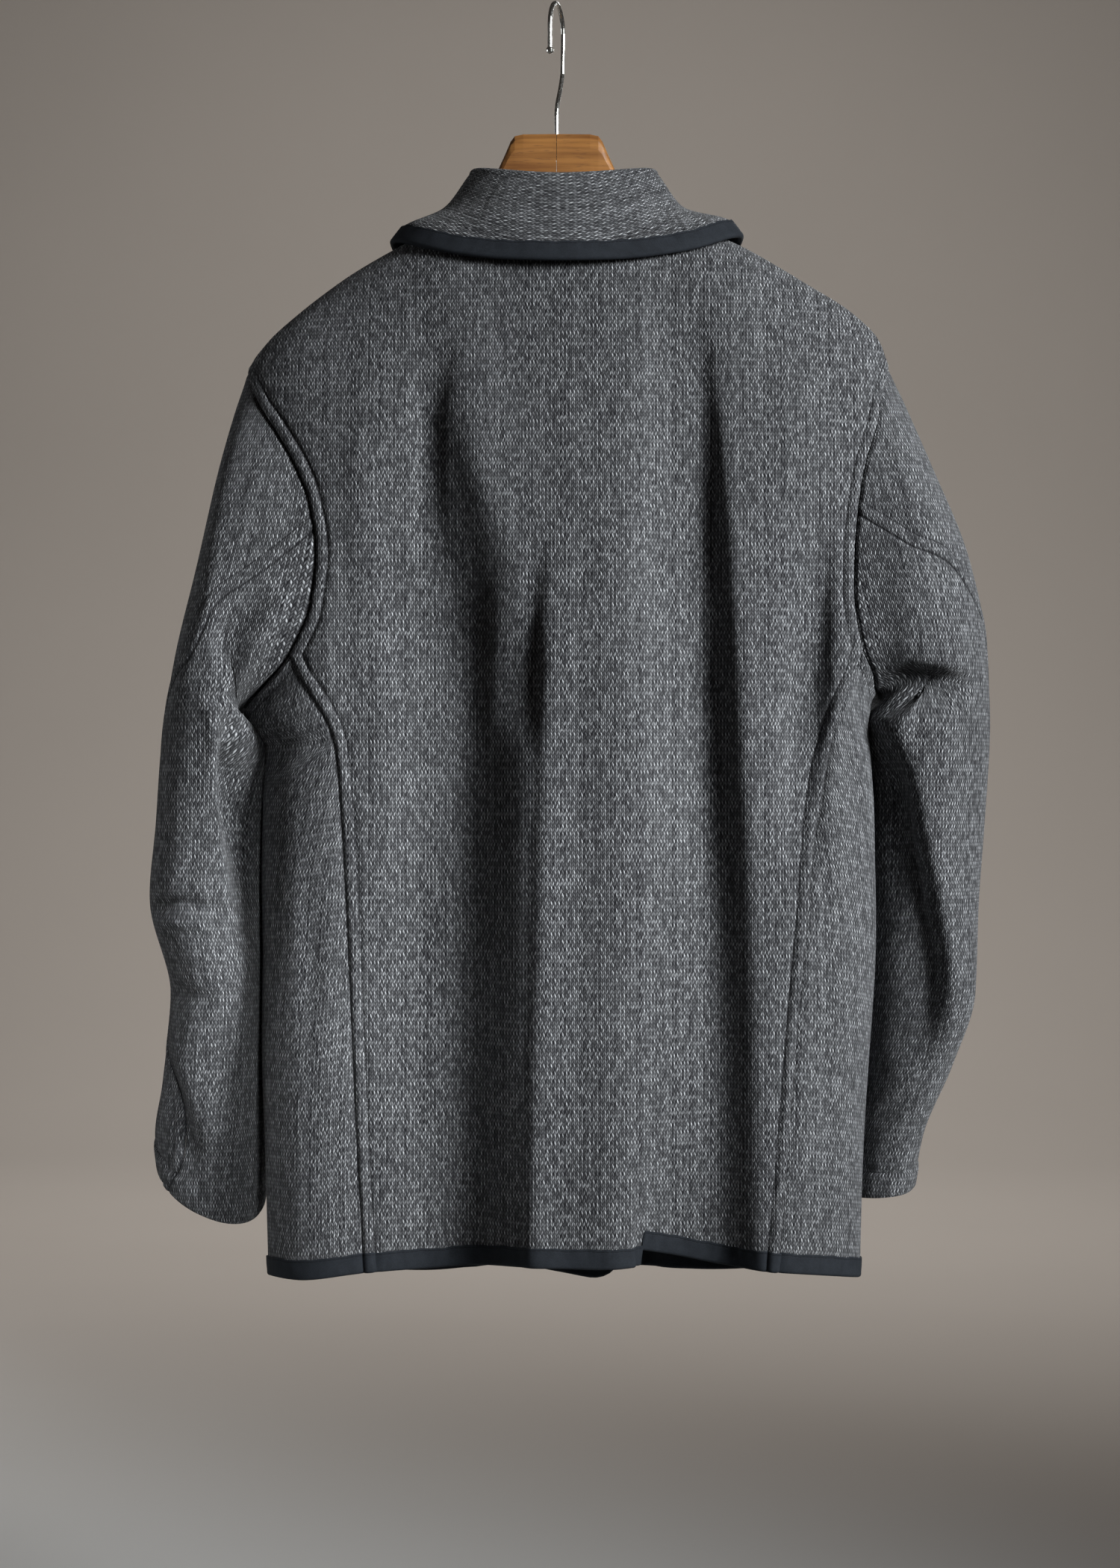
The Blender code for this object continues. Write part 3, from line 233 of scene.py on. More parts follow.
def torso(around, height):
    """Points of the cloth's outer face."""
    around, height = np.broadcast_arrays(np.asarray(around, float), np.asarray(height, float))
    turn = np.interp(around % 1.0, EVEN_SHARES, EVEN_TURNS)
    power = 2 / torso_size(height, "square")
    c = np.cos(turn)
    s = np.sin(turn)
    wide = np.where(c < 0, torso_size(height, "left"), torso_size(height, "right"))
    deep = np.where(s < 0, torso_size(height, "back"), torso_size(height, "front"))
    x = wide * signed_power(c, power)
    y = deep * signed_power(s, power)
    back_in, back_aside = fold_push(BACK_FOLDS, x, height)
    front_in, front_aside = fold_push(FRONT_FOLDS, x, height)
    back_weight = ease(*FOLD_FADE, -y / deep)
    front_weight = ease(*FOLD_FADE, y / deep)
    hem = np.where(s < 0, HEM_BACK_RISE, HEM_FRONT_DROP) * s
    hem *= 1 - ease(HEM_HEIGHT, HEM_HEIGHT + HEM_FADE, height)
    return np.stack((x + back_aside * back_weight + front_aside * front_weight,
                     y + back_in * back_weight - front_in * front_weight,
                     height - hem), axis=-1)


def torso_normal(around, height):
    small = 1e-4
    across = torso(around + small, height) - torso(around - small, height)
    up = torso(around, height + small) - torso(around, height - small)
    return unit(np.cross(across, up))


print("torso sections:", len(TORSO["height"]), "- long folds:", len(BACK_FOLDS) + len(FRONT_FOLDS))

# %% [markdown]
# ## Seam lines on the torso
# Armholes, side-back seams and the lapped front edge are lines drawn on the torso. The panels end on
# them and the sleeves start from them.

# %% Armholes, side seams and the lap
ARMHOLE = marks(
    "share left_back right_back left_front right_front",
    (0.00, 1.000, 1.000, 1.000, 1.000),
    (0.05, 0.935, 0.965, 0.930, 0.930),
    (0.12, 0.850, 0.922, 0.845, 0.845),
    (0.20, 0.790, 0.895, 0.790, 0.790),
    (0.30, 0.742, 0.878, 0.750, 0.750),
    (0.45, 0.722, 0.873, 0.730, 0.730),
    (0.60, 0.745, 0.881, 0.740, 0.740),
    (0.70, 0.787, 0.897, 0.770, 0.770),
    (0.80, 0.848, 0.928, 0.825, 0.825),
    (0.90, 0.928, 0.958, 0.910, 0.910),
    (1.00, 1.000, 1.000, 1.000, 1.000))
SIDE_SEAM = marks(
    "height left right",
    (-0.960, 0.1390, 0.1510),
    (-0.797, 0.1470, 0.1630),
    (-0.645, 0.1533, 0.1765),
    (-0.548, 0.1590, 0.1910),
    (-0.526, 0.1627, 0.1960),
    (-0.504, 0.1730, 0.2020),
    (-0.483, 0.1846, 0.2085),
    (-0.468, 0.1915, 0.2128))
UNDERARM = {"left": -0.5096, "right": -0.4960}
SHOULDER = {"left": -0.2670, "right": -0.2640}
SIDE_SIGN = {"left": -1.0, "right": 1.0}
JUNCTION_SHARE = {"left": 0.155, "right": 0.125}
FRONT_HOLE_SHARE = 0.09
SEAM_BLEND = 0.06
LAP_STEP = 0.0058
LAP_START = -0.062
LAP_FULL = -0.032
LEFT_LAP = 0.046
RIGHT_LAP = -0.012
LAP_SAG = 0.013
LAP_SAG_REACH = 0.080
CORNER_ROUND = 0.024
HEM_ROUND = 1.06
NECK_FRONT_DROP = 0.078
NECK_POINT = 0.003
NECK_TURN_BELOW = 0.012
NECK_TURN_ABOVE = 0.014


def armhole_height(side, turn):
    """The height of a turn round the armhole: 0 is the underarm, half a turn is the shoulder."""
    return UNDERARM[side] + (SHOULDER[side] - UNDERARM[side]) * (1 - np.cos(turn)) / 2


def armhole_around(side, turn):
    """The place round the torso of a turn round the armhole: turns above 0 are on the back."""
    turn = np.asarray(turn, float)
    height = armhole_height(side, turn)
    share = (1 - np.cos(turn)) / 2
    half = torso_size(height, side)
    found = {}
    for face in ("back", "front"):
        ratio = smooth_through(ARMHOLE["share"], ARMHOLE[f"{side}_{face}"], share)
        found[face] = around_at(side, face, ratio * half, height)
    return np.where(np.sin(turn) >= 0, found["back"], found["front"])


def armhole(side, turn):
    return torso(armhole_around(side, turn), armhole_height(side, turn))


def share_turn(share):
    return math.acos(1 - 2 * share)


def side_seam(side, rows):
    """Places and heights up the side-back seam, from the hem to the armhole."""
    top_turn = share_turn(JUNCTION_SHARE[side])
    heights = np.linspace(HEM_HEIGHT, armhole_height(side, top_turn), rows + 1)
    across = smooth_through(SIDE_SEAM["height"], SIDE_SEAM[side], heights)
    around = around_at(side, "back", across, heights)
    near = ease(heights[-1] - SEAM_BLEND, heights[-1], heights)
    return around + (armhole_around(side, top_turn) - around[-1]) * near, heights


def lap_around(side, height):
    """The front's centre edge: the lapped edge, then the neckline."""
    lap = LEFT_LAP if side == "left" else RIGHT_LAP
    straight = around_at("right" if lap > 0 else "left", "front", lap, height)
    drop = np.clip((NECK_HEIGHT + NECK_POINT - height) / NECK_FRONT_DROP, 0.0, 1.0)
    away = QUARTER * np.sqrt(drop)
    neck = 0.5 - away if side == "left" else away
    low = NECK_HEIGHT - NECK_FRONT_DROP
    blend = ease(low - NECK_TURN_BELOW, low + NECK_TURN_ABOVE, height)
    return straight * (1 - blend) + neck * blend


LINE_ROWS = 60
RING_TURNS = np.linspace(-math.pi, math.pi, 2 * LINE_ROWS + 1)
SEAM_LINES = {}
for side in ("left", "right"):
    SEAM_LINES[f"armhole_{side}"] = armhole(side, RING_TURNS)
    SEAM_LINES[f"side_{side}"] = torso(*side_seam(side, LINE_ROWS))
    ring = SEAM_LINES[f"armhole_{side}"]
    print(side, "armhole is", round(float(lengths_along(ring, 0)[-1]), 3), "m round")

# %% [markdown]
# ## The sleeves' form
# A sleeve is lofted from the armhole through a few measured sections to the cuff. Each section is given
# by its inner and outer ends as seen from behind, its depth, and how far its back leans outwards.

# %% Sleeve sections and seams
SLEEVE_COLUMNS = "inner_x inner_z outer_x outer_z middle_y depth lean tilt"
SLEEVES = {
    "left": marks(
        SLEEVE_COLUMNS,
        (-0.2316, -0.5150, -0.2446, -0.3365, -0.004, 0.070, 0.00, 0.000),
        (-0.2320, -0.5220, -0.2620, -0.4095, -0.002, 0.075, 0.05, 0.000),
        (-0.2275, -0.5330, -0.2772, -0.4718, 0.002, 0.078, 0.10, 0.000),
        (-0.2170, -0.5560, -0.2884, -0.5367, 0.010, 0.077, 0.10, 0.000),
        (-0.2145, -0.5940, -0.2936, -0.5908, 0.016, 0.074, 0.15, 0.000),
        (-0.2140, -0.6460, -0.3002, -0.6476, 0.022, 0.071, 0.10, 0.000),
        (-0.2140, -0.7152, -0.2846, -0.7179, 0.030, 0.066, 0.00, 0.000),
        (-0.2135, -0.7801, -0.2922, -0.7801, 0.042, 0.059, 0.00, 0.004),
        (-0.2140, -0.8320, -0.2998, -0.8200, 0.050, 0.053, 0.00, 0.016),
        (-0.2186, -0.8720, -0.2980, -0.8400, 0.054, 0.050, 0.00, 0.022)),
    "right": marks(
        SLEEVE_COLUMNS,
        (0.2315, -0.4988, 0.2688, -0.3338, 0.007, 0.066, 0.00, 0.000),
        (0.2340, -0.5050, 0.2964, -0.3987, 0.013, 0.066, 0.00, 0.000),
        (0.2320, -0.5180, 0.3100, -0.4582, 0.020, 0.068, -0.10, 0.000),
        (0.2255, -0.5400, 0.3152, -0.5286, 0.034, 0.068, -0.20, 0.000),
        (0.2260, -0.5940, 0.3133, -0.5908, 0.044, 0.068, -0.20, 0.000),
        (0.2260, -0.6470, 0.3097, -0.6476, 0.047, 0.068, 0.00, 0.000),
        (0.2240, -0.7110, 0.3051, -0.7125, 0.050, 0.068, 0.30, 0.000),
        (0.2185, -0.7693, 0.2896, -0.7693, 0.056, 0.060, 0.30, 0.000),
        (0.2130, -0.8180, 0.2690, -0.8191, 0.062, 0.056, 0.20, 0.002),
        (0.2090, -0.8640, 0.2614, -0.8569, 0.066, 0.054, 0.10, 0.004)),
}
SLEEVE_SEAMS = marks(
    "along left_back left_front right_back right_front",
    (0.00, 92.0, 300.0, 94.0, 300.0),
    (0.08, 85.0, 300.0, 98.0, 300.0),
    (0.185, 97.0, 300.0, 133.0, 300.0),
    (0.25, 112.0, 299.0, 168.0, 299.0),
    (0.32, 158.0, 298.0, 182.0, 298.0),
    (0.44, 184.0, 296.0, 190.0, 296.0),
    (0.75, 172.0, 294.0, 188.0, 294.0),
    (0.92, 112.0, 292.0, 176.0, 292.0),
    (1.00, 133.0, 292.0, 174.0, 292.0))
SLEEVE_SQUARE = 2.2


def sleeve_ends(side):
    """The inner and outer ends of every section, and the way from its middle to its back."""
    at = SLEEVES[side]
    inner = np.stack((at["inner_x"], at["middle_y"], at["inner_z"]), axis=-1)
    outer = np.stack((at["outer_x"], at["middle_y"], at["outer_z"]), axis=-1)
    back = np.stack((np.zeros_like(at["depth"]), -at["depth"], -at["tilt"]), axis=-1)
    return inner, outer, back


def sleeve_knots(side):
    """How far along the sleeve each section lies, from the armhole's middle to the cuff."""
    inner, outer, _ = sleeve_ends(side)
    start = armhole(side, RING_TURNS[:-1]).mean(axis=0)
    middles = np.concatenate((start[None], (inner + outer) / 2))
    length = lengths_along(middles, 0)
    return length / length[-1]


KNOTS = {side: sleeve_knots(side) for side in ("left", "right")}


def sleeve(side, along, turn):
    """Points on one row of a sleeve: one place along it, many turns round it."""
    inner, outer, back = (ends[:, None] for ends in sleeve_ends(side))
    c = signed_power(np.cos(turn), 2 / SLEEVE_SQUARE)
    s = signed_power(np.sin(turn), 2 / SLEEVE_SQUARE)
    lean = SLEEVES[side]["lean"][:, None]
    inwards = c[None] - lean * np.clip(np.sin(turn), 0.0, 1.0)[None] ** 2
    sections = (inner + outer) / 2 + (inner - outer) / 2 * inwards[..., None] + back * s[None, :, None]
    sections = np.concatenate((armhole(side, turn)[None], sections))
    return smooth_through(KNOTS[side], sections, np.array([along]))[0]


def sleeve_row(side, along, turn):
    """A row's points with their normals."""
    small = 1e-3
    round_way = sleeve(side, along, turn + small) - sleeve(side, along, turn - small)
    down_way = sleeve(side, min(along + small, 1.0), turn) - sleeve(side, max(along - small, 0.0), turn)
    return sleeve(side, along, turn), unit(np.cross(down_way, round_way)) * SIDE_SIGN[side]


def seam_turn(name, along):
    return np.radians(smooth_through(SLEEVE_SEAMS["along"], SLEEVE_SEAMS[name], along))


for side in ("left", "right"):
    for seam in ("back", "front"):
        places = np.linspace(0.0, 1.0, LINE_ROWS + 1)
        turns = seam_turn(f"{side}_{seam}", places)
        line = [sleeve(side, along, np.array([turn]))[0] for along, turn in zip(places, turns)]
        SEAM_LINES[f"sleeve_{side}_{seam}"] = np.array(line)
    print(side, "sleeve seam is", round(float(lengths_along(np.array(line), 0)[-1]), 3), "m long")

# %% [markdown]
# ## Creases placed one by one
# Cloth on a hanger is never smooth: it drags from the underarm, crumples at the elbow and drops in narrow
# folds. A simulation gives creases, but not these ones, so each is drawn as a line in millimetres, x and
# height with its depth there, and how far it reaches to each side of the way it runs. A negative depth is
# a ridge. The hidden fronts get similar ones.

# %% Crease lines
BACK_CREASES = (
    ((22, 14), (-80, -240, 0), (-86, -275, 3), (-92, -302, 5), (-92, -345, 5), (-88, -390, 3),
     (-80, -430, 0)),
    ((12, 26), (-1, -370, 0), (-5, -420, -3), (-6, -480, -4), (-8, -540, -4), (-10, -620, -5),
     (-14, -760, -5), (-18, -915, -4)),
    ((14, 10), (-16, -395, 0), (-20, -440, 4), (-22, -490, 4), (-24, -545, 0)),
    ((16, 14), (-40, -415, 0), (-44, -450, -3), (-46, -500, -3), (-48, -545, 0)),
    ((16, 10), (99, -235, 0), (102, -280, 3), (104, -320, 4), (106, -380, 3), (108, -430, 0)),
    ((24, 25), (186, -350, 0), (188, -400, 6), (186, -431, 10), (181, -475, 14), (176, -522, 14),
     (170, -569, 9), (166, -650, 0)),
    ((5, 60), (57, -790, 0), (57, -860, 3), (57, -930, 7)),
    ((5, 7), (200, -468, 0), (207, -474, 3), (214, -483, 3), (221, -492, 0)),
    ((9, 14), (-176, -600, 0), (-179, -660, 2), (-178, -700, 3), (-184, -740, 0)),
    ((20, 22), (-150, -300, 0), (-141, -350, -2), (-133, -440, -3), (-126, -540, -2), (-122, -700, 0)),
)
FRONT_CREASES = (
    ((18, 12), (-150, -380, 0), (-128, -430, 4), (-110, -500, 5), (-100, -580, 0)),
    ((10, 16), (160, -390, 0), (140, -450, 4), (124, -530, 4), (116, -600, 0)),
    ((14, 8), (-60, -560, 0), (-66, -640, 3), (-64, -760, 3), (-62, -915, 2)),
    ((12, 20), (70, -600, 0), (76, -700, 3), (80, -800, 4), (82, -915, 3)),
    ((8, 8), (-186, -470, 0), (-172, -500, 3), (-164, -545, 0)),
    ((8, 8), (192, -460, 0), (178, -492, 3), (170, -540, 0)),
)
SLEEVE_CREASES = {
    "left": (
        ("back", (18, 26), (-236, -506, 2), (-232, -522, 16), (-230, -545, 24), (-228, -575, 24),
         (-225, -610, 16), (-222, -650, 6), (-220, -690, 0)),
        ("back", (20, 20), (-188, -424, 0), (-197, -440, -5), (-212, -462, -7), (-228, -490, -7),
         (-238, -508, -3)),
        ("back", (14, 14), (-205, -428, 0), (-222, -444, 2), (-240, -462, 3), (-256, -486, 3),
         (-268, -540, 0)),
        ("back", (9, 12), (-246, -575, 0), (-254, -600, 2), (-263, -622, 2), (-274, -646, 0)),
        ("back", (14, 10), (-298, -651, 2), (-285, -650, 6), (-268, -650, 6), (-250, -653, 4),
         (-230, -658, 0)),
        ("back", (8, 10), (-294, -664, 0), (-280, -662, -3), (-262, -663, -3), (-246, -667, 0)),
        ("back", (14, 14), (-290, -735, 0), (-284, -770, 5), (-276, -800, 7), (-268, -825, 6),
         (-272, -850, 0)),
        ("back", (22, 30), (-284, -722, 0), (-272, -755, -4), (-262, -785, -6), (-254, -810, -6),
         (-252, -835, 0)),
        ("back", (10, 12), (-296, -712, 0), (-278, -714, 4), (-258, -718, 3), (-236, -724, 0)),
        ("inner", (45, 45), (-231, -500, 0), (-228, -518, -10), (-222, -533, -13), (-218, -552, -7),
         (-214, -590, 0)),
        ("front", (14, 10), (-290, -560, 0), (-270, -580, 5), (-245, -600, 5), (-228, -620, 0)),
        ("front", (12, 12), (-294, -640, 0), (-272, -650, 6), (-248, -652, 6), (-228, -650, 0)),
        ("front", (12, 10), (-228, -690, 0), (-250, -705, 5), (-275, -712, 4), (-290, -710, 0)),
        ("front", (14, 12), (-262, -400, 0), (-246, -440, 4), (-238, -480, 5), (-236, -515, 0)),
    ),
    "right": (
        ("back", (14, 32), (296, -500, 0), (285, -494, 12), (271, -491, 24), (256, -490, 31),
         (240, -493, 31), (228, -499, 25), (218, -509, 12)),
        ("back", (44, 20), (230, -522, 0), (236, -552, 10), (242, -582, 16), (248, -606, 18),
         (254, -634, 18), (261, -669, 17), (265, -709, 14), (260, -746, 8), (254, -780, 0)),
        ("back", (14, 14), (226, -763, 0), (245, -763, -3), (262, -756, -2), (276, -745, 0)),
        ("back", (5, 7), (204, -484, 0), (213, -490, 3), (222, -502, 3), (230, -512, 0)),
        ("back", (14, 14), (222, -362, 0), (245, -385, 2), (264, -402, 2), (284, -430, 0)),
        ("back", (10, 12), (288, -760, 0), (262, -782, 3), (240, -800, 3), (224, -815, 0)),
        ("inner", (45, 45), (228, -482, 0), (231, -500, -10), (230, -515, -12), (227, -535, -7),
         (226, -570, 0)),
        ("front", (14, 10), (305, -560, 0), (285, -580, 5), (262, -600, 5), (242, -625, 0)),
        ("front", (12, 12), (306, -655, 0), (288, -662, 6), (262, -664, 6), (240, -660, 0)),
        ("front", (12, 10), (240, -705, 0), (262, -722, 5), (284, -728, 4), (296, -722, 0)),
        ("front", (14, 12), (292, -400, 0), (268, -440, 4), (254, -470, 5), (246, -505, 0)),
    ),
}
FACE_WAYS = {
    "back": (0.0, -1.0, 0.0),
    "front": (0.0, 1.0, 0.0),
    "inner left": (1.0, 0.0, 0.0),
    "inner right": (-1.0, 0.0, 0.0),
}
FACING = (0.05, 0.50)
LINE_STEPS = 24
MILLIMETRES = 1000.0


def finer_line(line, steps):
    """The same line with many more points on a smooth curve through its own."""
    line = np.asarray(line, dtype=float)
    along = lengths_along(line[:, :2], 0)
    return smooth_through(along, line, np.linspace(0.0, along[-1], steps + 1))


def line_distance(points, line):
    """How far points lie from a line of points, and how far along the line their nearest place is."""
    nearest = np.full(points.shape[:-1], np.inf)
    along = np.zeros(points.shape[:-1])
    starts = lengths_along(line, 0)
    for k in range(len(line) - 1):
        run = line[k + 1] - line[k]
        t = np.clip((points - line[k]) @ run / max(run @ run, 1e-12), 0.0, 1.0)
        away = np.linalg.norm(points - line[k] - t[..., None] * run, axis=-1)
        nearer = away < nearest
        nearest = np.where(nearer, away, nearest)
        along = np.where(nearer, starts[k] + t * np.linalg.norm(run), along)
    return nearest, along


def crease_depth(crease, x, height):
    """How deep one crease is at each point."""
    (left, right), *rows = crease
    line = finer_line(rows, LINE_STEPS) / MILLIMETRES
    flat = np.stack((x, height), axis=-1)
    away, along = line_distance(flat, line[:, :2])
    starts = lengths_along(line[:, :2], 0)
    near_x = np.interp(along, starts, line[:, 0])
    near_z = np.interp(along, starts, line[:, 1])
    ways = np.gradient(line[:, :2], axis=0)
    way_x = np.interp(along, starts, ways[:, 0])
    way_z = np.interp(along, starts, ways[:, 1])
    on_right = way_x * (height - near_z) - way_z * (x - near_x) > 0
    t = np.clip(away * MILLIMETRES / np.where(on_right, right, left), 0.0, 1.0)
    return np.interp(along, starts, line[:, 2]) * 0.5 * (1 + np.cos(math.pi * t))


def creases_in(creases, face, points, normals):
    """All the creases of one face together, faded out where the cloth turns away from it."""
    depth = np.zeros(points.shape[:-1])
    for crease in creases:
        depth += crease_depth(crease, points[..., 0], points[..., 2])
    return depth * ease(*FACING, normals @ np.array(FACE_WAYS[face]))


on_sleeves = sum(len(rows) for rows in SLEEVE_CREASES.values())
print("creases:", len(BACK_CREASES) + len(FRONT_CREASES), "on the body,", on_sleeves, "on the sleeves")

# %% [markdown]
# ## Felled seams, cuffs and an uneven hang
# A felled seam is folded under and stitched down twice. From outside it is a raised strip about nine
# millimetres wide between two grooves. The strip lies on one side of the seam line; the other side only
# dips into the groove. The same kind of profile makes the turned cuff.

# %% Seam profiles
STRIP_WIDE = 0.0090
STRIP_RAISE = 0.0015
STRIP_ROUND = 0.55
STRIP_FADE = (-0.300, -0.262)
GROOVE_DEEP = 0.0015
GROOVE_WIDE = 0.0024
STITCH_DEEP = 0.0015
SLEEVE_STRIP = 0.45
STITCH_WIDE = 0.0030
CUFF_HEM = 0.0180
CUFF_RAISE = 0.0015
EDGE_ROLL = 0.0012
CUFF_EDGE = 0.001
EDGE_ROLL_WIDE = 0.0022
STRIP_SUNK = 0.7
SEAM_NEAR = 0.002
SEAM_REACH = 0.024
WAVE_HEIGHT = 0.0006
WAVE_TURN = 0.6
WAVE_SWAY = 1.7
WAVES = marks(
    "across down phase",
    (31.0, 7.0, 0.4),
    (17.0, 13.0, 2.1),
    (52.0, 5.0, 4.4),
    (9.0, 21.0, 1.3))


def hollow(distance, wide):
    """1 in the middle of a groove, falling to 0 at its edge."""
    return 0.5 * (1 + np.cos(math.pi * np.clip(distance / wide, -1.0, 1.0)))


def seam_dip(distance):
    return -GROOVE_DEEP * hollow(distance, GROOVE_WIDE)


def seam_strip(distance):
    across = np.clip(distance / STRIP_WIDE, 0.0, 1.0)
    raised = STRIP_RAISE * np.sin(math.pi * across) ** STRIP_ROUND
    return raised + seam_dip(distance) - STITCH_DEEP * hollow(distance - STRIP_WIDE, STITCH_WIDE)


def cuff_profile(distance):
    raised = CUFF_RAISE * (1 - ease(CUFF_HEM - CUFF_EDGE, CUFF_HEM, distance))
    rolled = -EDGE_ROLL * hollow(distance, EDGE_ROLL_WIDE)
    return raised + rolled - STITCH_DEEP * hollow(distance - CUFF_HEM, STITCH_WIDE)


def uneven_hang(points):
    """A slow unevenness, so that no stretch of cloth is perfectly smooth."""
    total = np.zeros(points.shape[:-1])
    for across, down, phase in zip(WAVES["across"], WAVES["down"], WAVES["phase"]):
        sway = across * (points[..., 0] + WAVE_TURN * points[..., 1]) + down * points[..., 2] + phase
        total += np.sin(sway + WAVE_SWAY * np.sin(0.5 * down * points[..., 2] + phase))
    return WAVE_HEIGHT * total


def strip_left(points):
    """How much of a felled strip is left: it sinks towards the shoulder."""
    return 1 - STRIP_SUNK * ease(*STRIP_FADE, points[..., 2])


def calm_beside(distance):
    """0 on a seam, where creases are held flat, and 1 well away from it."""
    return ease(SEAM_NEAR, SEAM_REACH, distance)


print("felled strip stands", round(1000 * float(seam_strip(STRIP_WIDE / 2)), 2), "mm proud")


# %% [markdown]
# ## From a grid to a shell
# Every cloth piece is a grid of points. The shell adds an inner face one cloth's thickness inside and a
# rim along the open edges. A Solidify modifier would do this too, but here the two UV maps, one along
# the knit and one along the nearest seam, can be written in the same pass.

# %% Shell maker
CLOTH = 0.0026
COARSE = 0.0036
FINE = 0.0010
FINE_REACH = 0.0125
FINE_FALL = 4
SPACING_STEPS = 2000
WALE_ROWS = 22
WALE_PASSES = 2
PLUMB_PLACES = 241
SHARP_ANGLE = math.radians(50)


def seam_spaced(length, fine_end=True, fine_at=None):
    """Shares from 0 to 1 across a panel of that length, closer together beside its seams."""
    shares = np.linspace(0.0, 1.0, SPACING_STEPS + 1)
    near = np.exp(-(shares * length / FINE_REACH) ** FINE_FALL)
    near = near + fine_end * np.exp(-((1 - shares) * length / FINE_REACH) ** FINE_FALL)
    if fine_at is not None:
        near = near + np.exp(-((shares - fine_at) * length / FINE_REACH) ** FINE_FALL)
    density = 1 / COARSE + near * (1 / FINE - 1 / COARSE)
    total = np.concatenate(([0.0], np.cumsum((density[1:] + density[:-1]) / 2))) * length / SPACING_STEPS
    return np.interp(np.linspace(0.0, total[-1], int(round(total[-1])) + 1), total, shares)


def grid_normals(points, outwards):
    normals = unit(np.cross(np.gradient(points, axis=1), np.gradient(points, axis=0)))
    return normals * np.where(np.sum(normals * outwards, axis=-1, keepdims=True) < 0, -1.0, 1.0)


def open_edges(quads, count):
    """The directed edges that only one face has."""
    starts = quads.ravel().astype(np.int64)
    ends = np.roll(quads, -1, axis=1).ravel().astype(np.int64)
    alone = ~np.isin(starts * count + ends, ends * count + starts)
    return starts[alone], ends[alone]


def add_mesh(name, points, faces, maps, finish):
    used, faces = np.unique(faces, return_inverse=True)
    faces = faces.reshape(-1, 4)
    mesh = bpy.data.meshes.new(name)
    mesh.from_pydata(points[used].tolist(), [], faces.tolist())
    for title, values in maps.items():
        layer = mesh.uv_layers.new(name=title)
        layer.data.foreach_set("uv", values[used][faces.ravel()].astype(np.float32).ravel())
    mesh.shade_smooth()
    mesh.set_sharp_from_angle(angle=SHARP_ANGLE)
    mesh.materials.append(finish)
    thing = bpy.data.objects.new(name, mesh)
    bpy.context.scene.collection.objects.link(thing)
    return thing


def add_shell(name, points, outwards, maps, finish, keep=None):
    rows, across = points.shape[:2]
    normals = grid_normals(points, outwards)
    index = np.arange(rows * across).reshape(rows, across)
    quads = np.stack((index[:-1, :-1], index[:-1, 1:], index[1:, 1:], index[1:, :-1]), axis=-1)
    quads = quads[keep] if keep is not None else quads.reshape(-1, 4)
    flat = points.reshape(-1, 3)
    corners = flat[quads]
    facing = np.cross(corners[:, 1] - corners[:, 0], corners[:, 2] - corners[:, 0])
    if np.sum(facing * outwards.reshape(-1, 3)[quads[:, 0]]) < 0:
        quads = quads[:, ::-1]
    count = len(flat)
    inner = flat - normals.reshape(-1, 3) * CLOTH
    starts, ends = open_edges(quads, count)
    rims = np.stack((ends, starts, starts + count, ends + count), axis=-1)
    faces = np.concatenate((quads, quads[:, ::-1] + count, rims))
    doubled = {title: np.concatenate((values.reshape(-1, 2),) * 2) for title, values in maps.items()}
    return add_mesh(name, np.concatenate((flat, inner)), faces, doubled, finish)


def evened(values, reach, passes):
    """Values averaged over some rows up and down, so that wales run straight past a fold."""
    for _ in range(passes):
        ends = (np.repeat(values[:1], reach, axis=0), values, np.repeat(values[-1:], reach, axis=0))
        total = np.cumsum(np.concatenate((np.zeros_like(values[:1]),) + ends), axis=0)
        values = (total[2 * reach + 1:] - total[:-2 * reach - 1]) / (2 * reach + 1)
    return values


def plumb_map(points):
    """Lengths across and along a panel whose wales hang plumb: one length for each x and each height."""
    x, _, height = np.moveaxis(points, -1, 0)
    places = np.linspace(x.min(), x.max(), PLUMB_PLACES)
    over = lengths_along(points, 1) - x
    rows = [np.interp(places, np.maximum.accumulate(row), spare - np.interp(0.0, row, spare))
            for row, spare in zip(x, over)]
    middle = points.shape[1] // 2
    along = lengths_along(points, 0)[:, middle]
    order = np.argsort(height[:, middle])
    down = np.interp(height, height[order, middle], along[order])
    return np.stack((x + np.interp(x, places, np.mean(rows, axis=0)), down), axis=-1)


def cloth_map(points, middle):
    """Lengths across and along a piece, measured on the cloth from its middle column."""
    across = lengths_along(points, 1)
    across = evened(across - across[:, middle:middle + 1], WALE_ROWS, WALE_PASSES)
    return np.stack((across, lengths_along(points, 0)), axis=-1)


print("a panel 0.4 m wide gets", len(seam_spaced(0.4)), "columns")


# %% [markdown]
# ## Finishes
# A material is a small sum: the class below lets sockets be added and multiplied like numbers, so a knit
# can be written as the formula it is. Everything is procedural and follows the cloth's own UV map, so the
# knit runs along each panel as it was cut.

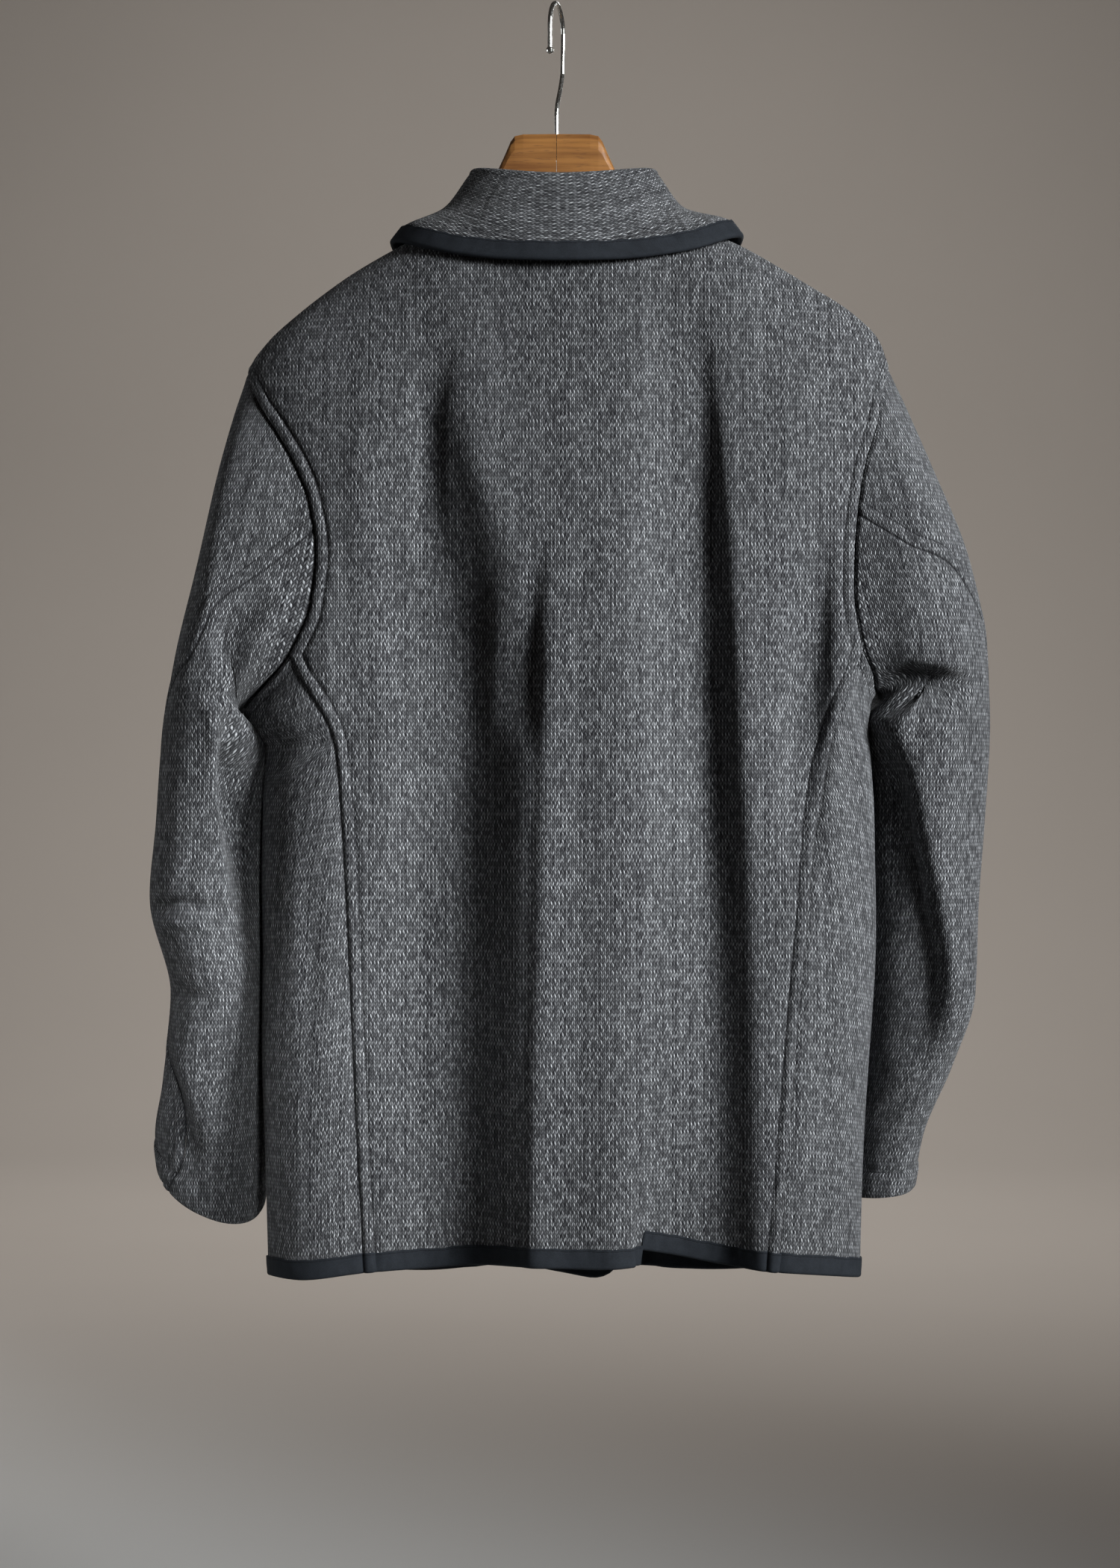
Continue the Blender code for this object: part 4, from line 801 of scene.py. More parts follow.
# %% Shader sums
class Wire:
    """A socket that can be used in sums."""

    def __init__(self, finish, socket):
        self.finish = finish
        self.socket = socket

    def math(self, operation, *others):
        inputs = dict(enumerate((self,) + others))
        return self.finish.node("ShaderNodeMath", {"operation": operation}, inputs)

    def __add__(self, other):
        return self.math("ADD", other)

    def __sub__(self, other):
        return self.math("SUBTRACT", other)

    def __rsub__(self, other):
        return self.finish.node("ShaderNodeMath", {"operation": "SUBTRACT"}, {0: other, 1: self})

    def __mul__(self, other):
        return self.math("MULTIPLY", other)

    def __truediv__(self, other):
        return self.math("DIVIDE", other)

    def __pow__(self, other):
        return self.math("POWER", other)

    __radd__ = __add__
    __rmul__ = __mul__

    def between(self, low, high):
        """0 below the first value and 1 above the second, with a soft step."""
        inputs = {"Value": self, "From Min": low, "From Max": high}
        return self.finish.node("ShaderNodeMapRange", {"interpolation_type": "SMOOTHSTEP"}, inputs)


class Finish:
    """A material with one Principled shader and its sums."""

    def __init__(self, name, **constants):
        self.material = bpy.data.materials.new(name)
        self.material.use_nodes = True
        self.tree = self.material.node_tree
        self.shader = self.tree.nodes["Principled BSDF"]
        for title, value in constants.items():
            self.shader.inputs[title.replace("_", " ")].default_value = value

    def node(self, kind, settings, inputs, output=0):
        made = self.tree.nodes.new(kind)
        for title, value in settings.items():
            setattr(made, title, value)
        for title, value in inputs.items():
            if isinstance(value, Wire):
                self.tree.links.new(value.socket, made.inputs[title])
            else:
                made.inputs[title].default_value = value
        return Wire(self, made.outputs[output])

    def feed(self, title, wire):
        self.tree.links.new(wire.socket, self.shader.inputs[title])

    def mix(self, share, first, second):
        """A colour between two colours; sockets 6 and 7 are the colours."""
        return self.node("ShaderNodeMix", {"data_type": "RGBA"}, {0: share, 6: first, 7: second}, output=2)

    def parts(self, wire):
        split = self.tree.nodes.new("ShaderNodeSeparateXYZ")
        self.tree.links.new(wire.socket, split.inputs[0])
        return [Wire(self, socket) for socket in split.outputs]

    def cloth_lengths(self, title):
        """The two lengths of one of the cloth's UV maps, in metres."""
        return self.parts(self.node("ShaderNodeUVMap", {"uv_map": title}, {}))[:2]

    def places(self):
        return self.node("ShaderNodeTexCoord", {}, {}, output="Object")

    def vector(self, x, y, z):
        return self.node("ShaderNodeCombineXYZ", {}, {0: x, 1: y, 2: z})

    def speckle(self, *numbers):
        """A number from 0 to 1 that is the same all over one cell."""
        inputs = {"Vector": self.vector(*numbers)}
        return self.node("ShaderNodeTexWhiteNoise", {"noise_dimensions": "3D"}, inputs, output="Value")

    def cloud(self, spot, scale, detail=2.0):
        return self.node("ShaderNodeTexNoise", {}, {"Vector": spot, "Scale": scale, "Detail": detail})

    def bump(self, height, strength, distance):
        inputs = {"Height": height, "Strength": strength, "Distance": distance}
        self.feed("Normal", self.node("ShaderNodeBump", {}, inputs))


# %% [markdown]
# ### Marled wool
# The yarn is two plies, one near-black and one off-white, so every stitch leg shows more of one or the
# other. A knit wale is a column of little Vs: we fold each column at its middle, slant the courses along
# its two legs, and give every leg its own tone by a speckle. Light and dark legs take turns up a column, so
# that the flecks read as staggered seeds. The right-hand legs are painted lighter than the left-hand ones:
# this is painted light from the right. Each fleck also fades to the dark yarn at the edges of its leg, as
# painted shade in the gaps between the legs. Stitching lines sink into the wool along the seams; their
# grooves and the seam line are painted darker, as painted shade.

# %% Wool finish
WALE = 0.0027
COURSE = 0.0027
LEG_SLANT = 0.90
DARK_YARN = (0.011, 0.011, 0.013, 1.0)
LIGHT_YARN = (0.55, 0.565, 0.585, 1.0)
STITCH_LONG = 0.0032
STITCH_GAP = (0.30, 0.36)
STITCH_SOFT = (0.0002, 0.0009)
SEAM_SOFT = (0.0002, 0.0014)
WOOL_BUMP = (0.55, 0.0008)


def wool_finish():
    wool = Finish("marled_wool_knit", Roughness=0.95, Sheen_Weight=0.10, Sheen_Roughness=0.5,
                  Specular_IOR_Level=0.08)
    across, along = wool.cloth_lengths("cloth")
    wale = across / WALE
    column = wale.math("FLOOR")
    middle = wale - column - 0.5
    leg = middle.math("GREATER_THAN", 0.0)
    out = middle.math("ABSOLUTE") * 2.0
    climb = along / COURSE + out * LEG_SLANT
    course = climb.math("FLOOR")
    step = climb - course
    pick = wool.speckle(column + leg * 0.5, course, 0.0)
    bright = ((course + leg) * 0.5).math("FRACT") * 2.0
    broad = wool.speckle(column, 3.0, 7.0)
    drift = wool.cloud(wool.vector(across, along * 0.2, 0.0), 24.0)
    legs = (1.0 - ((out - 0.5) * 2.1) ** 2.0).math("MAXIMUM", 0.0)
    turns = 1.0 - (step * 2.0 - 1.0) ** 2.0
    height = (legs * turns) ** 0.7
    # The fleck shape fades each leg to the dark yarn at its edges: painted shade in the gaps between the
    # legs.
    seed_and_gap_shade = (legs * turns) ** 1.1
    # leg * 0.28 makes every right-hand leg lighter: painted light from the right, on top of the yarn's own
    # random tone.
    tone_and_leg_light = (0.19 + pick ** 1.5 * 0.86) * (0.18 + bright * 0.54 + leg * 0.28)
    tone_and_leg_light = tone_and_leg_light + (drift - 0.5) * 0.20 + (broad - 0.5) * 0.10
    from_seam, along_seam = wool.cloth_lengths("seam")
    stitch = 1.0 - (from_seam - STRIP_WIDE).math("ABSOLUTE").between(*STITCH_SOFT)
    dash = (along_seam / STITCH_LONG).math("FRACT").between(*STITCH_GAP)
    seam = 1.0 - from_seam.between(*SEAM_SOFT)
    # The seam line and the stitching lines darken the colour: painted shade in their grooves. In the bump
    # they are real relief.
    sunk_and_groove_shade = (stitch * (0.35 + dash * 0.4)).math("MAXIMUM", seam * 0.8)
    share = (tone_and_leg_light * (0.08 + seed_and_gap_shade * 0.92)).math("MAXIMUM", 0.0) * (1.0 - sunk_and_groove_shade)
    wool.feed("Base Color", wool.mix(share, DARK_YARN, LIGHT_YARN))
    wool.bump(height - sunk_and_groove_shade * 0.8, *WOOL_BUMP)
    return wool.material


WOOL = wool_finish()
print("finish:", WOOL.name)

# %% [markdown]
# ### Twill tape
# The edges are bound with a dark blue-black tape. Its twill is a set of fine slanting ribs, a little
# uneven, and the stitching that holds it runs close to its free edge.

# %% Tape finish
TAPE_WIDTH = 0.0120
TWILL_RIB = 0.0009
TWILL_SLANT = 0.8
TWILL_CELL = 0.0007
TWILL_DARK = (0.004, 0.005, 0.007, 1.0)
TWILL_LIGHT = (0.020, 0.024, 0.030, 1.0)
TWILL_BUMP = (0.4, 0.0005)
TAPE_STITCH = 0.0016
TAPE_STITCH_GAP = (0.28, 0.34)
TAPE_STITCH_SOFT = (0.0002, 0.0006)


def tape_finish():
    tape = Finish("binding_twill", Roughness=0.85, Specular_IOR_Level=0.2)
    along, across = tape.cloth_lengths("cloth")
    rib = ((along + across * TWILL_SLANT) / TWILL_RIB).math("FRACT")
    ridge = 1.0 - (rib * 2.0 - 1.0) ** 2.0
    cells = tape.speckle((along / TWILL_CELL).math("FLOOR"), (across / TWILL_CELL).math("FLOOR"), 1.0)
    drift = tape.cloud(tape.vector(along, across, 0.0), 140.0, 3.0)
    from_edge, along_edge = tape.cloth_lengths("seam")
    stitch = 1.0 - (from_edge - TAPE_STITCH).math("ABSOLUTE").between(*TAPE_STITCH_SOFT)
    dash = (along_edge / STITCH_LONG).math("FRACT").between(*TAPE_STITCH_GAP)
    ribs = 0.25 + ridge * 0.35 + cells * 0.25 + (drift - 0.5) * 0.7
    share = ribs * (1.0 - stitch * (0.3 + dash * 0.4))
    tape.feed("Base Color", tape.mix(share, TWILL_DARK, TWILL_LIGHT))
    tape.bump(ridge * 0.5 - stitch * 0.8, *TWILL_BUMP)
    return tape.material


TAPE = tape_finish()
print("finish:", TAPE.name)

# %% [markdown]
# ### Wood, wire and horn
# The hanger is varnished hardwood with its grain running across, the hook is bright wire, and the buttons
# are dark horn-like discs. These read Object coordinates, since the frame's own solids carry them.

# %% Hard finishes
BOARD_DARK = (0.150, 0.055, 0.016, 1.0)
BOARD_LIGHT = (0.52, 0.245, 0.070, 1.0)
PORE_DARK = (0.075, 0.028, 0.010, 1.0)
WIRE_DULL = (0.50, 0.49, 0.46, 1.0)
WIRE_BRIGHT = (0.85, 0.84, 0.80, 1.0)
HORN_DARK = (0.010, 0.009, 0.008, 1.0)
HORN_LIGHT = (0.060, 0.042, 0.028, 1.0)
GRAIN = (12.0, 120.0, 260.0)
PORES = (90.0, 900.0, 1500.0)
BROAD_GRAIN = (16.0, 40.0, 40.0)
SCUFFS = (900.0, 900.0, 160.0)
STREAKS = (260.0, 200.0, 900.0)


def stretched(finish, spot, scales, detail):
    """A cloud pattern that is finer along some axes than along others."""
    scaled = [part * scale for part, scale in zip(spot, scales)]
    return finish.cloud(finish.vector(*scaled), 1.0, detail)


def wood_finish():
    wood = Finish("varnished_beech", Coat_Weight=0.55, Coat_Roughness=0.18, Specular_IOR_Level=0.5)
    spot = wood.parts(wood.places())
    grain = stretched(wood, spot, GRAIN, 5.0)
    pores = stretched(wood, spot, PORES, 2.0).between(0.58, 0.75)
    broad = stretched(wood, spot, BROAD_GRAIN, 2.0)
    share = (grain * 1.3 - 0.25 + (broad - 0.5) * 0.8).math("MAXIMUM", 0.0)
    board = wood.mix(share, BOARD_DARK, BOARD_LIGHT)
    wood.feed("Base Color", wood.mix(pores * 0.55, board, PORE_DARK))
    wood.feed("Roughness", 0.32 + pores * 0.25)
    wood.bump(grain * 0.4 - pores * 0.5, 0.25, 0.0005)
    return wood.material


def wire_finish():
    wire = Finish("bright_wire", Metallic=1.0)
    scuff = stretched(wire, wire.parts(wire.places()), SCUFFS, 3.0)
    wire.feed("Base Color", wire.mix(scuff, WIRE_DULL, WIRE_BRIGHT))
    wire.feed("Roughness", 0.16 + scuff * 0.22)
    return wire.material


def horn_finish():
    horn = Finish("dark_horn", Coat_Weight=0.25, Coat_Roughness=0.25)
    streak = stretched(horn, horn.parts(horn.places()), STREAKS, 4.0)
    horn.feed("Base Color", horn.mix(streak, HORN_DARK, HORN_LIGHT))
    horn.feed("Roughness", 0.30 + streak * 0.25)
    return horn.material


def dress(nodes, finish):
    for title in nodes:
        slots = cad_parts[title].data.materials
        slots.clear()
        slots.append(finish)


dress(("hanger_left", "hanger_right"), wood_finish())
dress(("hook",), wire_finish())
buttons = [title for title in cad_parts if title.startswith("button_")]
dress(buttons, horn_finish())
print("buttons dressed:", len(buttons))

# %% [markdown]
# ## The back
# The back is one piece from side-back seam to side-back seam, with the felled strips on its edges. Its
# lower edge rises a little to the right of the small pleat, as if the cloth were caught up there.

# %% Back panel
LOW_ROWS = 118
HOLE_ROWS = 68
RIDGE_ROWS = 34
PLEAT_AT = 0.057
PLEAT_FADE = 0.110
PLEAT_STEP = 0.0007
HEM_LEFT = marks(
    "place rise",
    (-0.215, 0.0040),
    (-0.179, -0.0010),
    (-0.142, 0.0010),
    (-0.089, 0.0020),
    (-0.058, 0.0040),
    (-0.021, 0.0070),
    (0.026, 0.0055),
    (0.058, 0.0060))
HEM_RIGHT = marks(
    "place rise",
    (0.056, 0.0175),
    (0.079, 0.0130),
    (0.118, 0.0060),
    (0.147, 0.0045),
    (0.215, 0.0016))
BACK_WIDE = 0.42
HEM_TURN = 0.03
PLEAT_SHARE = 0.675


def back_edges():
    edges = {}
    for side in ("left", "right"):
        seam_around, seam_heights = side_seam(side, LOW_ROWS)
        turns = np.linspace(share_turn(JUNCTION_SHARE[side]), math.pi, HOLE_ROWS + 1)[1:]
        ridge = np.linspace(SHOULDER[side], NECK_HEIGHT, RIDGE_ROWS + 1)[1:]
        ridge_place = np.full(len(ridge), 0.5 if side == "left" else 0.0)
        around = np.concatenate((seam_around, armhole_around(side, turns), ridge_place))
        heights = np.concatenate((seam_heights, armhole_height(side, turns), ridge))
        edges[side] = np.stack((around, heights), axis=-1)
    edges["right"][:, 0] += 1.0
    return edges


def nearest_seam(points, names):
    """Distance to the nearest of some seam lines, with the place along it."""
    found = [line_distance(points, SEAM_LINES[name]) for name in names]
    away = np.array([distance for distance, _ in found])
    along = np.array([place for _, place in found])
    pick = np.argmin(away, axis=0)[None]
    return np.take_along_axis(away, pick, 0)[0], np.take_along_axis(along, pick, 0)[0]


def body_relief(points, normals, face, creases, strips, dips):
    """Folds, seams and unevenness of a body panel, with its map along the seams."""
    hole_away, _ = nearest_seam(points, ("armhole_left", "armhole_right"))
    relief = uneven_hang(points) - creases_in(creases, face, points, normals)
    strip_away, strip_along = nearest_seam(points, strips)
    relief = relief * calm_beside(hole_away) + seam_strip(strip_away) * strip_left(points)
    if dips:
        dip_away, _ = nearest_seam(points, dips)
        relief = relief + seam_dip(dip_away)
    seam_map = np.stack((strip_away, strip_along), axis=-1)
    return points + normals * relief[..., None], seam_map


def hem_rise(points):
    """How far the hem is lifted off its level line: it waves, and steps up to the right of the pleat."""
    x, y, height = np.moveaxis(points, -1, 0)
    left = smooth_through(HEM_LEFT["place"], HEM_LEFT["rise"], x)
    right = smooth_through(HEM_RIGHT["place"], HEM_RIGHT["rise"], x)
    rise = left + (right - left) * ease(PLEAT_AT - PLEAT_STEP, PLEAT_AT + PLEAT_STEP, x)
    return rise * (1 - ease(HEM_HEIGHT, HEM_HEIGHT + PLEAT_FADE, height)) * ease(HEM_TURN, -HEM_TURN, y)


def add_back():
    edges = back_edges()
    shares = seam_spaced(BACK_WIDE, fine_at=PLEAT_SHARE)[None, :, None]
    places = edges["left"][:, None] * (1 - shares) + edges["right"][:, None] * shares
    base = torso(places[..., 0], places[..., 1])
    normals = torso_normal(places[..., 0], places[..., 1])
    strips = ("armhole_left", "armhole_right", "side_left", "side_right")
    points, seam_map = body_relief(base, normals, "back", BACK_CREASES, strips, ())
    points[..., 2] += hem_rise(points)
    maps = {"cloth": plumb_map(points), "seam": seam_map}
    return add_shell("back_panel", points, normals, maps, WOOL), points, normals


back, back_points, back_normals = add_back()
print("back panel:", len(back.data.polygons), "faces")

# %% [markdown]
# ## The fronts
# Each front wraps round the side from the side-back seam to the lapped edge. Below the underarm it runs the
# whole way; above, it starts at the armhole. The left front steps out where it lies over the right one.

# %% Front panels
SIDE_COLUMNS = 44
SIDE_SHARE = 0.44
LAP_WIDE = 0.19
SAG_RISE = 0.06


def blend_patch(bottom, top, left, right, shares):
    """A grid of places blended from its four edges."""
    t = ((left[:, 1] - left[0, 1]) / (left[-1, 1] - left[0, 1]))[:, None, None]
    s = shares[None, :, None]
    corners = (1 - t) * ((1 - s) * bottom[0] + s * bottom[-1]) + t * ((1 - s) * top[0] + s * top[-1])
    return (1 - t) * bottom + t * top + (1 - s) * left[:, None] + s * right[:, None] - corners


def front_places(side):
    """Places round the torso and heights of a front, row by row from the hem up."""
    run = seam_spaced(LAP_WIDE, fine_end=False)
    side_shares = np.linspace(0.0, SIDE_SHARE, SIDE_COLUMNS + 1)[:-1]
    shares = np.concatenate((side_shares, SIDE_SHARE + (1 - SIDE_SHARE) * run))
    left = np.stack(side_seam(side, LOW_ROWS), axis=-1)
    start_turn = -share_turn(FRONT_HOLE_SHARE)
    lap_heights = np.linspace(HEM_HEIGHT + CORNER_ROUND, armhole_height(side, start_turn), LOW_ROWS + 1)
    right = np.stack((lap_around(side, lap_heights), lap_heights), axis=-1)
    hem_around = left[0, 0] + (right[0, 0] - left[0, 0]) * shares
    from_corner = np.abs(hem_around - right[0, 0]) * HEM_ROUND
    near = np.clip(1 - from_corner / CORNER_ROUND, 0.0, 1.0)
    hem_heights = HEM_HEIGHT + CORNER_ROUND * (1 - np.sqrt(1 - near ** 2))
    sag = LAP_SAG if side == "left" else 0.0
    hem_heights = hem_heights - sag * ease(0.0, 1.0, np.clip(1 - from_corner / LAP_SAG_REACH, 0.0, 1.0))
    right[:, 1] -= sag * (1 - ease(0.0, SAG_RISE, lap_heights - lap_heights[0]))
    bottom = np.stack((hem_around, hem_heights), axis=-1)
    turns = np.linspace(share_turn(JUNCTION_SHARE[side]), start_turn, SIDE_COLUMNS + 1)
    under = np.stack((armhole_around(side, turns), armhole_height(side, turns)), axis=-1)
    top = np.concatenate((under[:-1], under[-1] * (1 - run[:, None]) + right[-1] * run[:, None]))
    rows = list(blend_patch(bottom, top, left, right, shares))
    turns = np.linspace(start_turn, -math.pi, HOLE_ROWS + 1)[1:]
    ridge = np.linspace(SHOULDER[side], NECK_HEIGHT, RIDGE_ROWS + 1)[1:]
    ridge_place = np.full(len(ridge), 0.5 if side == "left" else 0.0)
    outer = np.concatenate((armhole_around(side, turns), ridge_place))
    heights = np.concatenate((armhole_height(side, turns), ridge))
    spread = np.concatenate((np.zeros(SIDE_COLUMNS), run))
    for start, height in zip(outer, heights):
        end = lap_around(side, height)
        rows.append(np.stack((start + (end - start) * spread, np.full(len(spread), height)), axis=-1))
    return np.array(rows)


def lap_over(points, normals):
    """The left front steps out where it lies over the right one."""
    step = LAP_STEP * ease(LAP_START, LAP_FULL, points[..., 0]) * (points[..., 1] > 0)
    return points + normals * step[..., None]


def add_front(side):
    places = front_places(side)
    base = torso(places[..., 0], places[..., 1])
    normals = torso_normal(places[..., 0], places[..., 1])
    if side == "left":
        base = lap_over(base, normals)
    back_part = -creases_in(BACK_CREASES, "back", base, normals)
    hole = (f"armhole_{side}",)
    points, seam_map = body_relief(base, normals, "front", FRONT_CREASES, hole, (f"side_{side}",))
    hole_away, _ = nearest_seam(base, hole)
    points = points + normals * (back_part * calm_beside(hole_away))[..., None]
    points[..., 2] += hem_rise(points)
    rows, across = points.shape[:2]
    keep = np.ones((rows - 1, across - 1), dtype=bool)
    keep[LOW_ROWS:, :SIDE_COLUMNS] = False
    maps = {"cloth": cloth_map(points, across - 1), "seam": seam_map}
    return add_shell(f"front_{side}_panel", points, normals, maps, WOOL, keep), points, normals


fronts = {side: add_front(side) for side in ("left", "right")}
print("fronts:", [len(thing.data.polygons) for thing, _, _ in fronts.values()], "faces")

# %% [markdown]
# ## The sleeves
# A two-piece sleeve has a top and an under piece. The felled strip lies on the top piece, beside the back
# seam. At the armhole the sleeve dips under the body's strip, and the cuff is turned up and stitched.

# %% Sleeve pieces
SLEEVE_LENGTH = 0.61
SLEEVE_WIDE = {"top": 0.20, "under": 0.26}
STITCH_HIDDEN = 0.004
OVAL_STEPS = 1441
ARM_LEAN = 0.25
ARM_TOP = 0.25
ARM_WIDE = 0.040
ARM_DEEP = 0.070


def sleeve_grid(side, piece):
    """Points and normals of one piece of a sleeve, from the armhole down."""
    alongs = seam_spaced(SLEEVE_LENGTH)
    spread = seam_spaced(SLEEVE_WIDE[piece])
    points = []
    normals = []
    for along in alongs:
        back = float(seam_turn(f"{side}_back", along))
        front = float(seam_turn(f"{side}_front", along))
        low, high = (back, front) if piece == "top" else (front - 2 * math.pi, back)
        row_points, row_normals = sleeve_row(side, float(along), low + (high - low) * spread)
        points.append(row_points)
        normals.append(row_normals)
    return np.array(points), np.array(normals)


def arm_middle(side, height):
    """The arm's middle line: through the lower sections, then straight on towards the shoulder."""
    inner, outer, _ = sleeve_ends(side)
    middles = ((inner + outer) / 2)[1:]
    top = middles[0] + np.array((-ARM_LEAN * SIDE_SIGN[side], 0.0, 1.0)) * ARM_TOP
    line = np.concatenate((top[None], middles))[::-1]
    return [np.interp(height, line[:, 2], line[:, axis]) for axis in (0, 1)]


def arm_map(points, side):
    """Lengths round and down the arm: a sleeve is cut straight, so its knit runs to the shoulder."""
    turns = np.linspace(-2 * math.pi, 2 * math.pi, OVAL_STEPS)
    oval = np.stack((ARM_WIDE * np.sin(turns), ARM_DEEP * np.cos(turns)), axis=-1)
    x, y, height = np.moveaxis(points, -1, 0)
    middle_x, middle_y = arm_middle(side, height)
    turn = np.arctan2((x - middle_x) * SIDE_SIGN[side] / ARM_WIDE, (middle_y - y) / ARM_DEEP)
    around = np.interp(np.unwrap(turn, axis=1), turns, lengths_along(oval, 0))
    return np.stack((around, -height), axis=-1)


def add_sleeve(side, piece):
    base, normals = sleeve_grid(side, piece)
    hole_away, _ = nearest_seam(base, (f"armhole_{side}",))
    relief = uneven_hang(base)
    for face in ("back", "front", "inner"):
        creases = [row[1:] for row in SLEEVE_CREASES[side] if row[0] == face]
        way = f"inner {side}" if face == "inner" else face
        relief = relief - creases_in(creases, way, base, normals)
    relief = relief * calm_beside(hole_away)
    strip_away, strip_along = nearest_seam(base, (f"sleeve_{side}_back", f"sleeve_{side}_front"))
    relief = relief + SLEEVE_STRIP * (seam_strip(strip_away) if piece == "top" else seam_dip(strip_away))
    relief = relief + seam_dip(hole_away) * strip_left(base)
    along = lengths_along(base, 0)
    to_cuff = along[-1:] - along
    relief = relief + cuff_profile(to_cuff)
    points = base + normals * relief[..., None]
    shown = strip_away if piece == "top" else np.minimum(strip_away, STITCH_HIDDEN)
    seam_map = np.stack((np.minimum(shown, np.abs(to_cuff - CUFF_HEM) + STRIP_WIDE), strip_along), axis=-1)
    maps = {"cloth": arm_map(base, side), "seam": seam_map}
    return add_shell(f"sleeve_{side}_{piece}_piece", points, normals, maps, WOOL)


sleeves = {(side, piece): add_sleeve(side, piece)
           for side in ("left", "right") for piece in ("top", "under")}
print("sleeve pieces:", [len(thing.data.polygons) for thing in sleeves.values()], "faces")

# %% [markdown]
# ## The collar
# The collar is one band that stands up from the neckline, turns over at its crease and falls outwards.
# Its knit runs along its length, so its UV map is turned a quarter.

# %% Collar
COLLAR_COLUMNS = "left right back front back_height side_height front_height".split()
CREASE_RING = dict(zip(COLLAR_COLUMNS, (0.0620, 0.0675, 0.0500, 0.072, -0.1290, -0.1190, -0.2050)))
FALL_RING = dict(zip(COLLAR_COLUMNS, (0.1165, 0.1240, 0.0745, 0.103, -0.1925, -0.1805, -0.2780)))
COLLAR_END = 5.0
COLLAR_FRONT_CURVE = 1.6
COLLAR_ACROSS = 190
STAND_STEPS = 9
CREASE_STEPS = 8
FALL_STEPS = 30
FAR_FROM_SEAM = 0.05
CLEAR_ROUNDS = 6
STAND_LIFT = 0.0006
STAND_INSET = 0.0036
STAND_INSET_REACH = 0.025
CREASE_ROUND = 0.0038
FALL_CLEAR = 0.0070
FALL_SWELL = 0.0012
SIDE_HOLLOW = 0.0026
SIDE_HOLLOW_POWER = 4
FRONT_PLACE = 0.25
BACK_PLACE = 0.75
TAPE_ROW = 0.014


def forward_share(around):
    return np.clip(1 - np.abs(around - FRONT_PLACE) / QUARTER, 0.0, 1.0)


def collar_ring(at, around):
    """A ring of the collar: level behind, dropping past the sides to the front."""
    behind = np.clip(1 - np.abs(around - BACK_PLACE) / QUARTER, 0.0, 1.0)
    front_drop = (at["front_height"] - at["side_height"]) * forward_share(around) ** COLLAR_FRONT_CURVE
    back_drop = (at["back_height"] - at["side_height"]) * ease(0.0, 1.0, behind)
    c = np.cos(2 * math.pi * around)
    s = np.sin(2 * math.pi * around)
    x = np.where(c < 0, at["left"], at["right"]) * c
    y = np.where(s < 0, at["back"], at["front"]) * s
    return np.stack((x, y, at["side_height"] + front_drop + back_drop), axis=-1)


def torso_reach(points):
    """How far out of the torso each point is, as a share of the section at its height."""
    x, y, height = np.moveaxis(points, -1, 0)
    wide = np.where(x < 0, torso_size(height, "left"), torso_size(height, "right"))
    deep = np.where(y < 0, torso_size(height, "back"), torso_size(height, "front"))
    power = torso_size(height, "square")
    return (np.abs(x / wide) ** power + np.abs(y / deep) ** power) ** (1 / power) - 1


def lifted_off(points, clear):
    """Points moved out of the torso where they are nearer than the clearance."""
    over_lap = ease(LAP_START, LAP_FULL, points[:, 0])
    over_lap = over_lap * (1 - ease(LEFT_LAP, LEFT_LAP + TAPE_WIDTH, points[:, 0]))
    clear = clear + LAP_STEP * over_lap * (points[:, 1] > 0)
    moved = points.copy()
    small = 1e-5
    for _ in range(CLEAR_ROUNDS):
        reach = torso_reach(moved)
        nudges = np.eye(3) * small
        slope = np.stack([(torso_reach(moved + step) - reach) / small for step in nudges], axis=-1)
        steep = np.linalg.norm(slope, axis=-1)
        short = np.clip(clear - reach / steep, 0.0, None)
        moved += slope / steep[:, None] * short[:, None]
    return moved


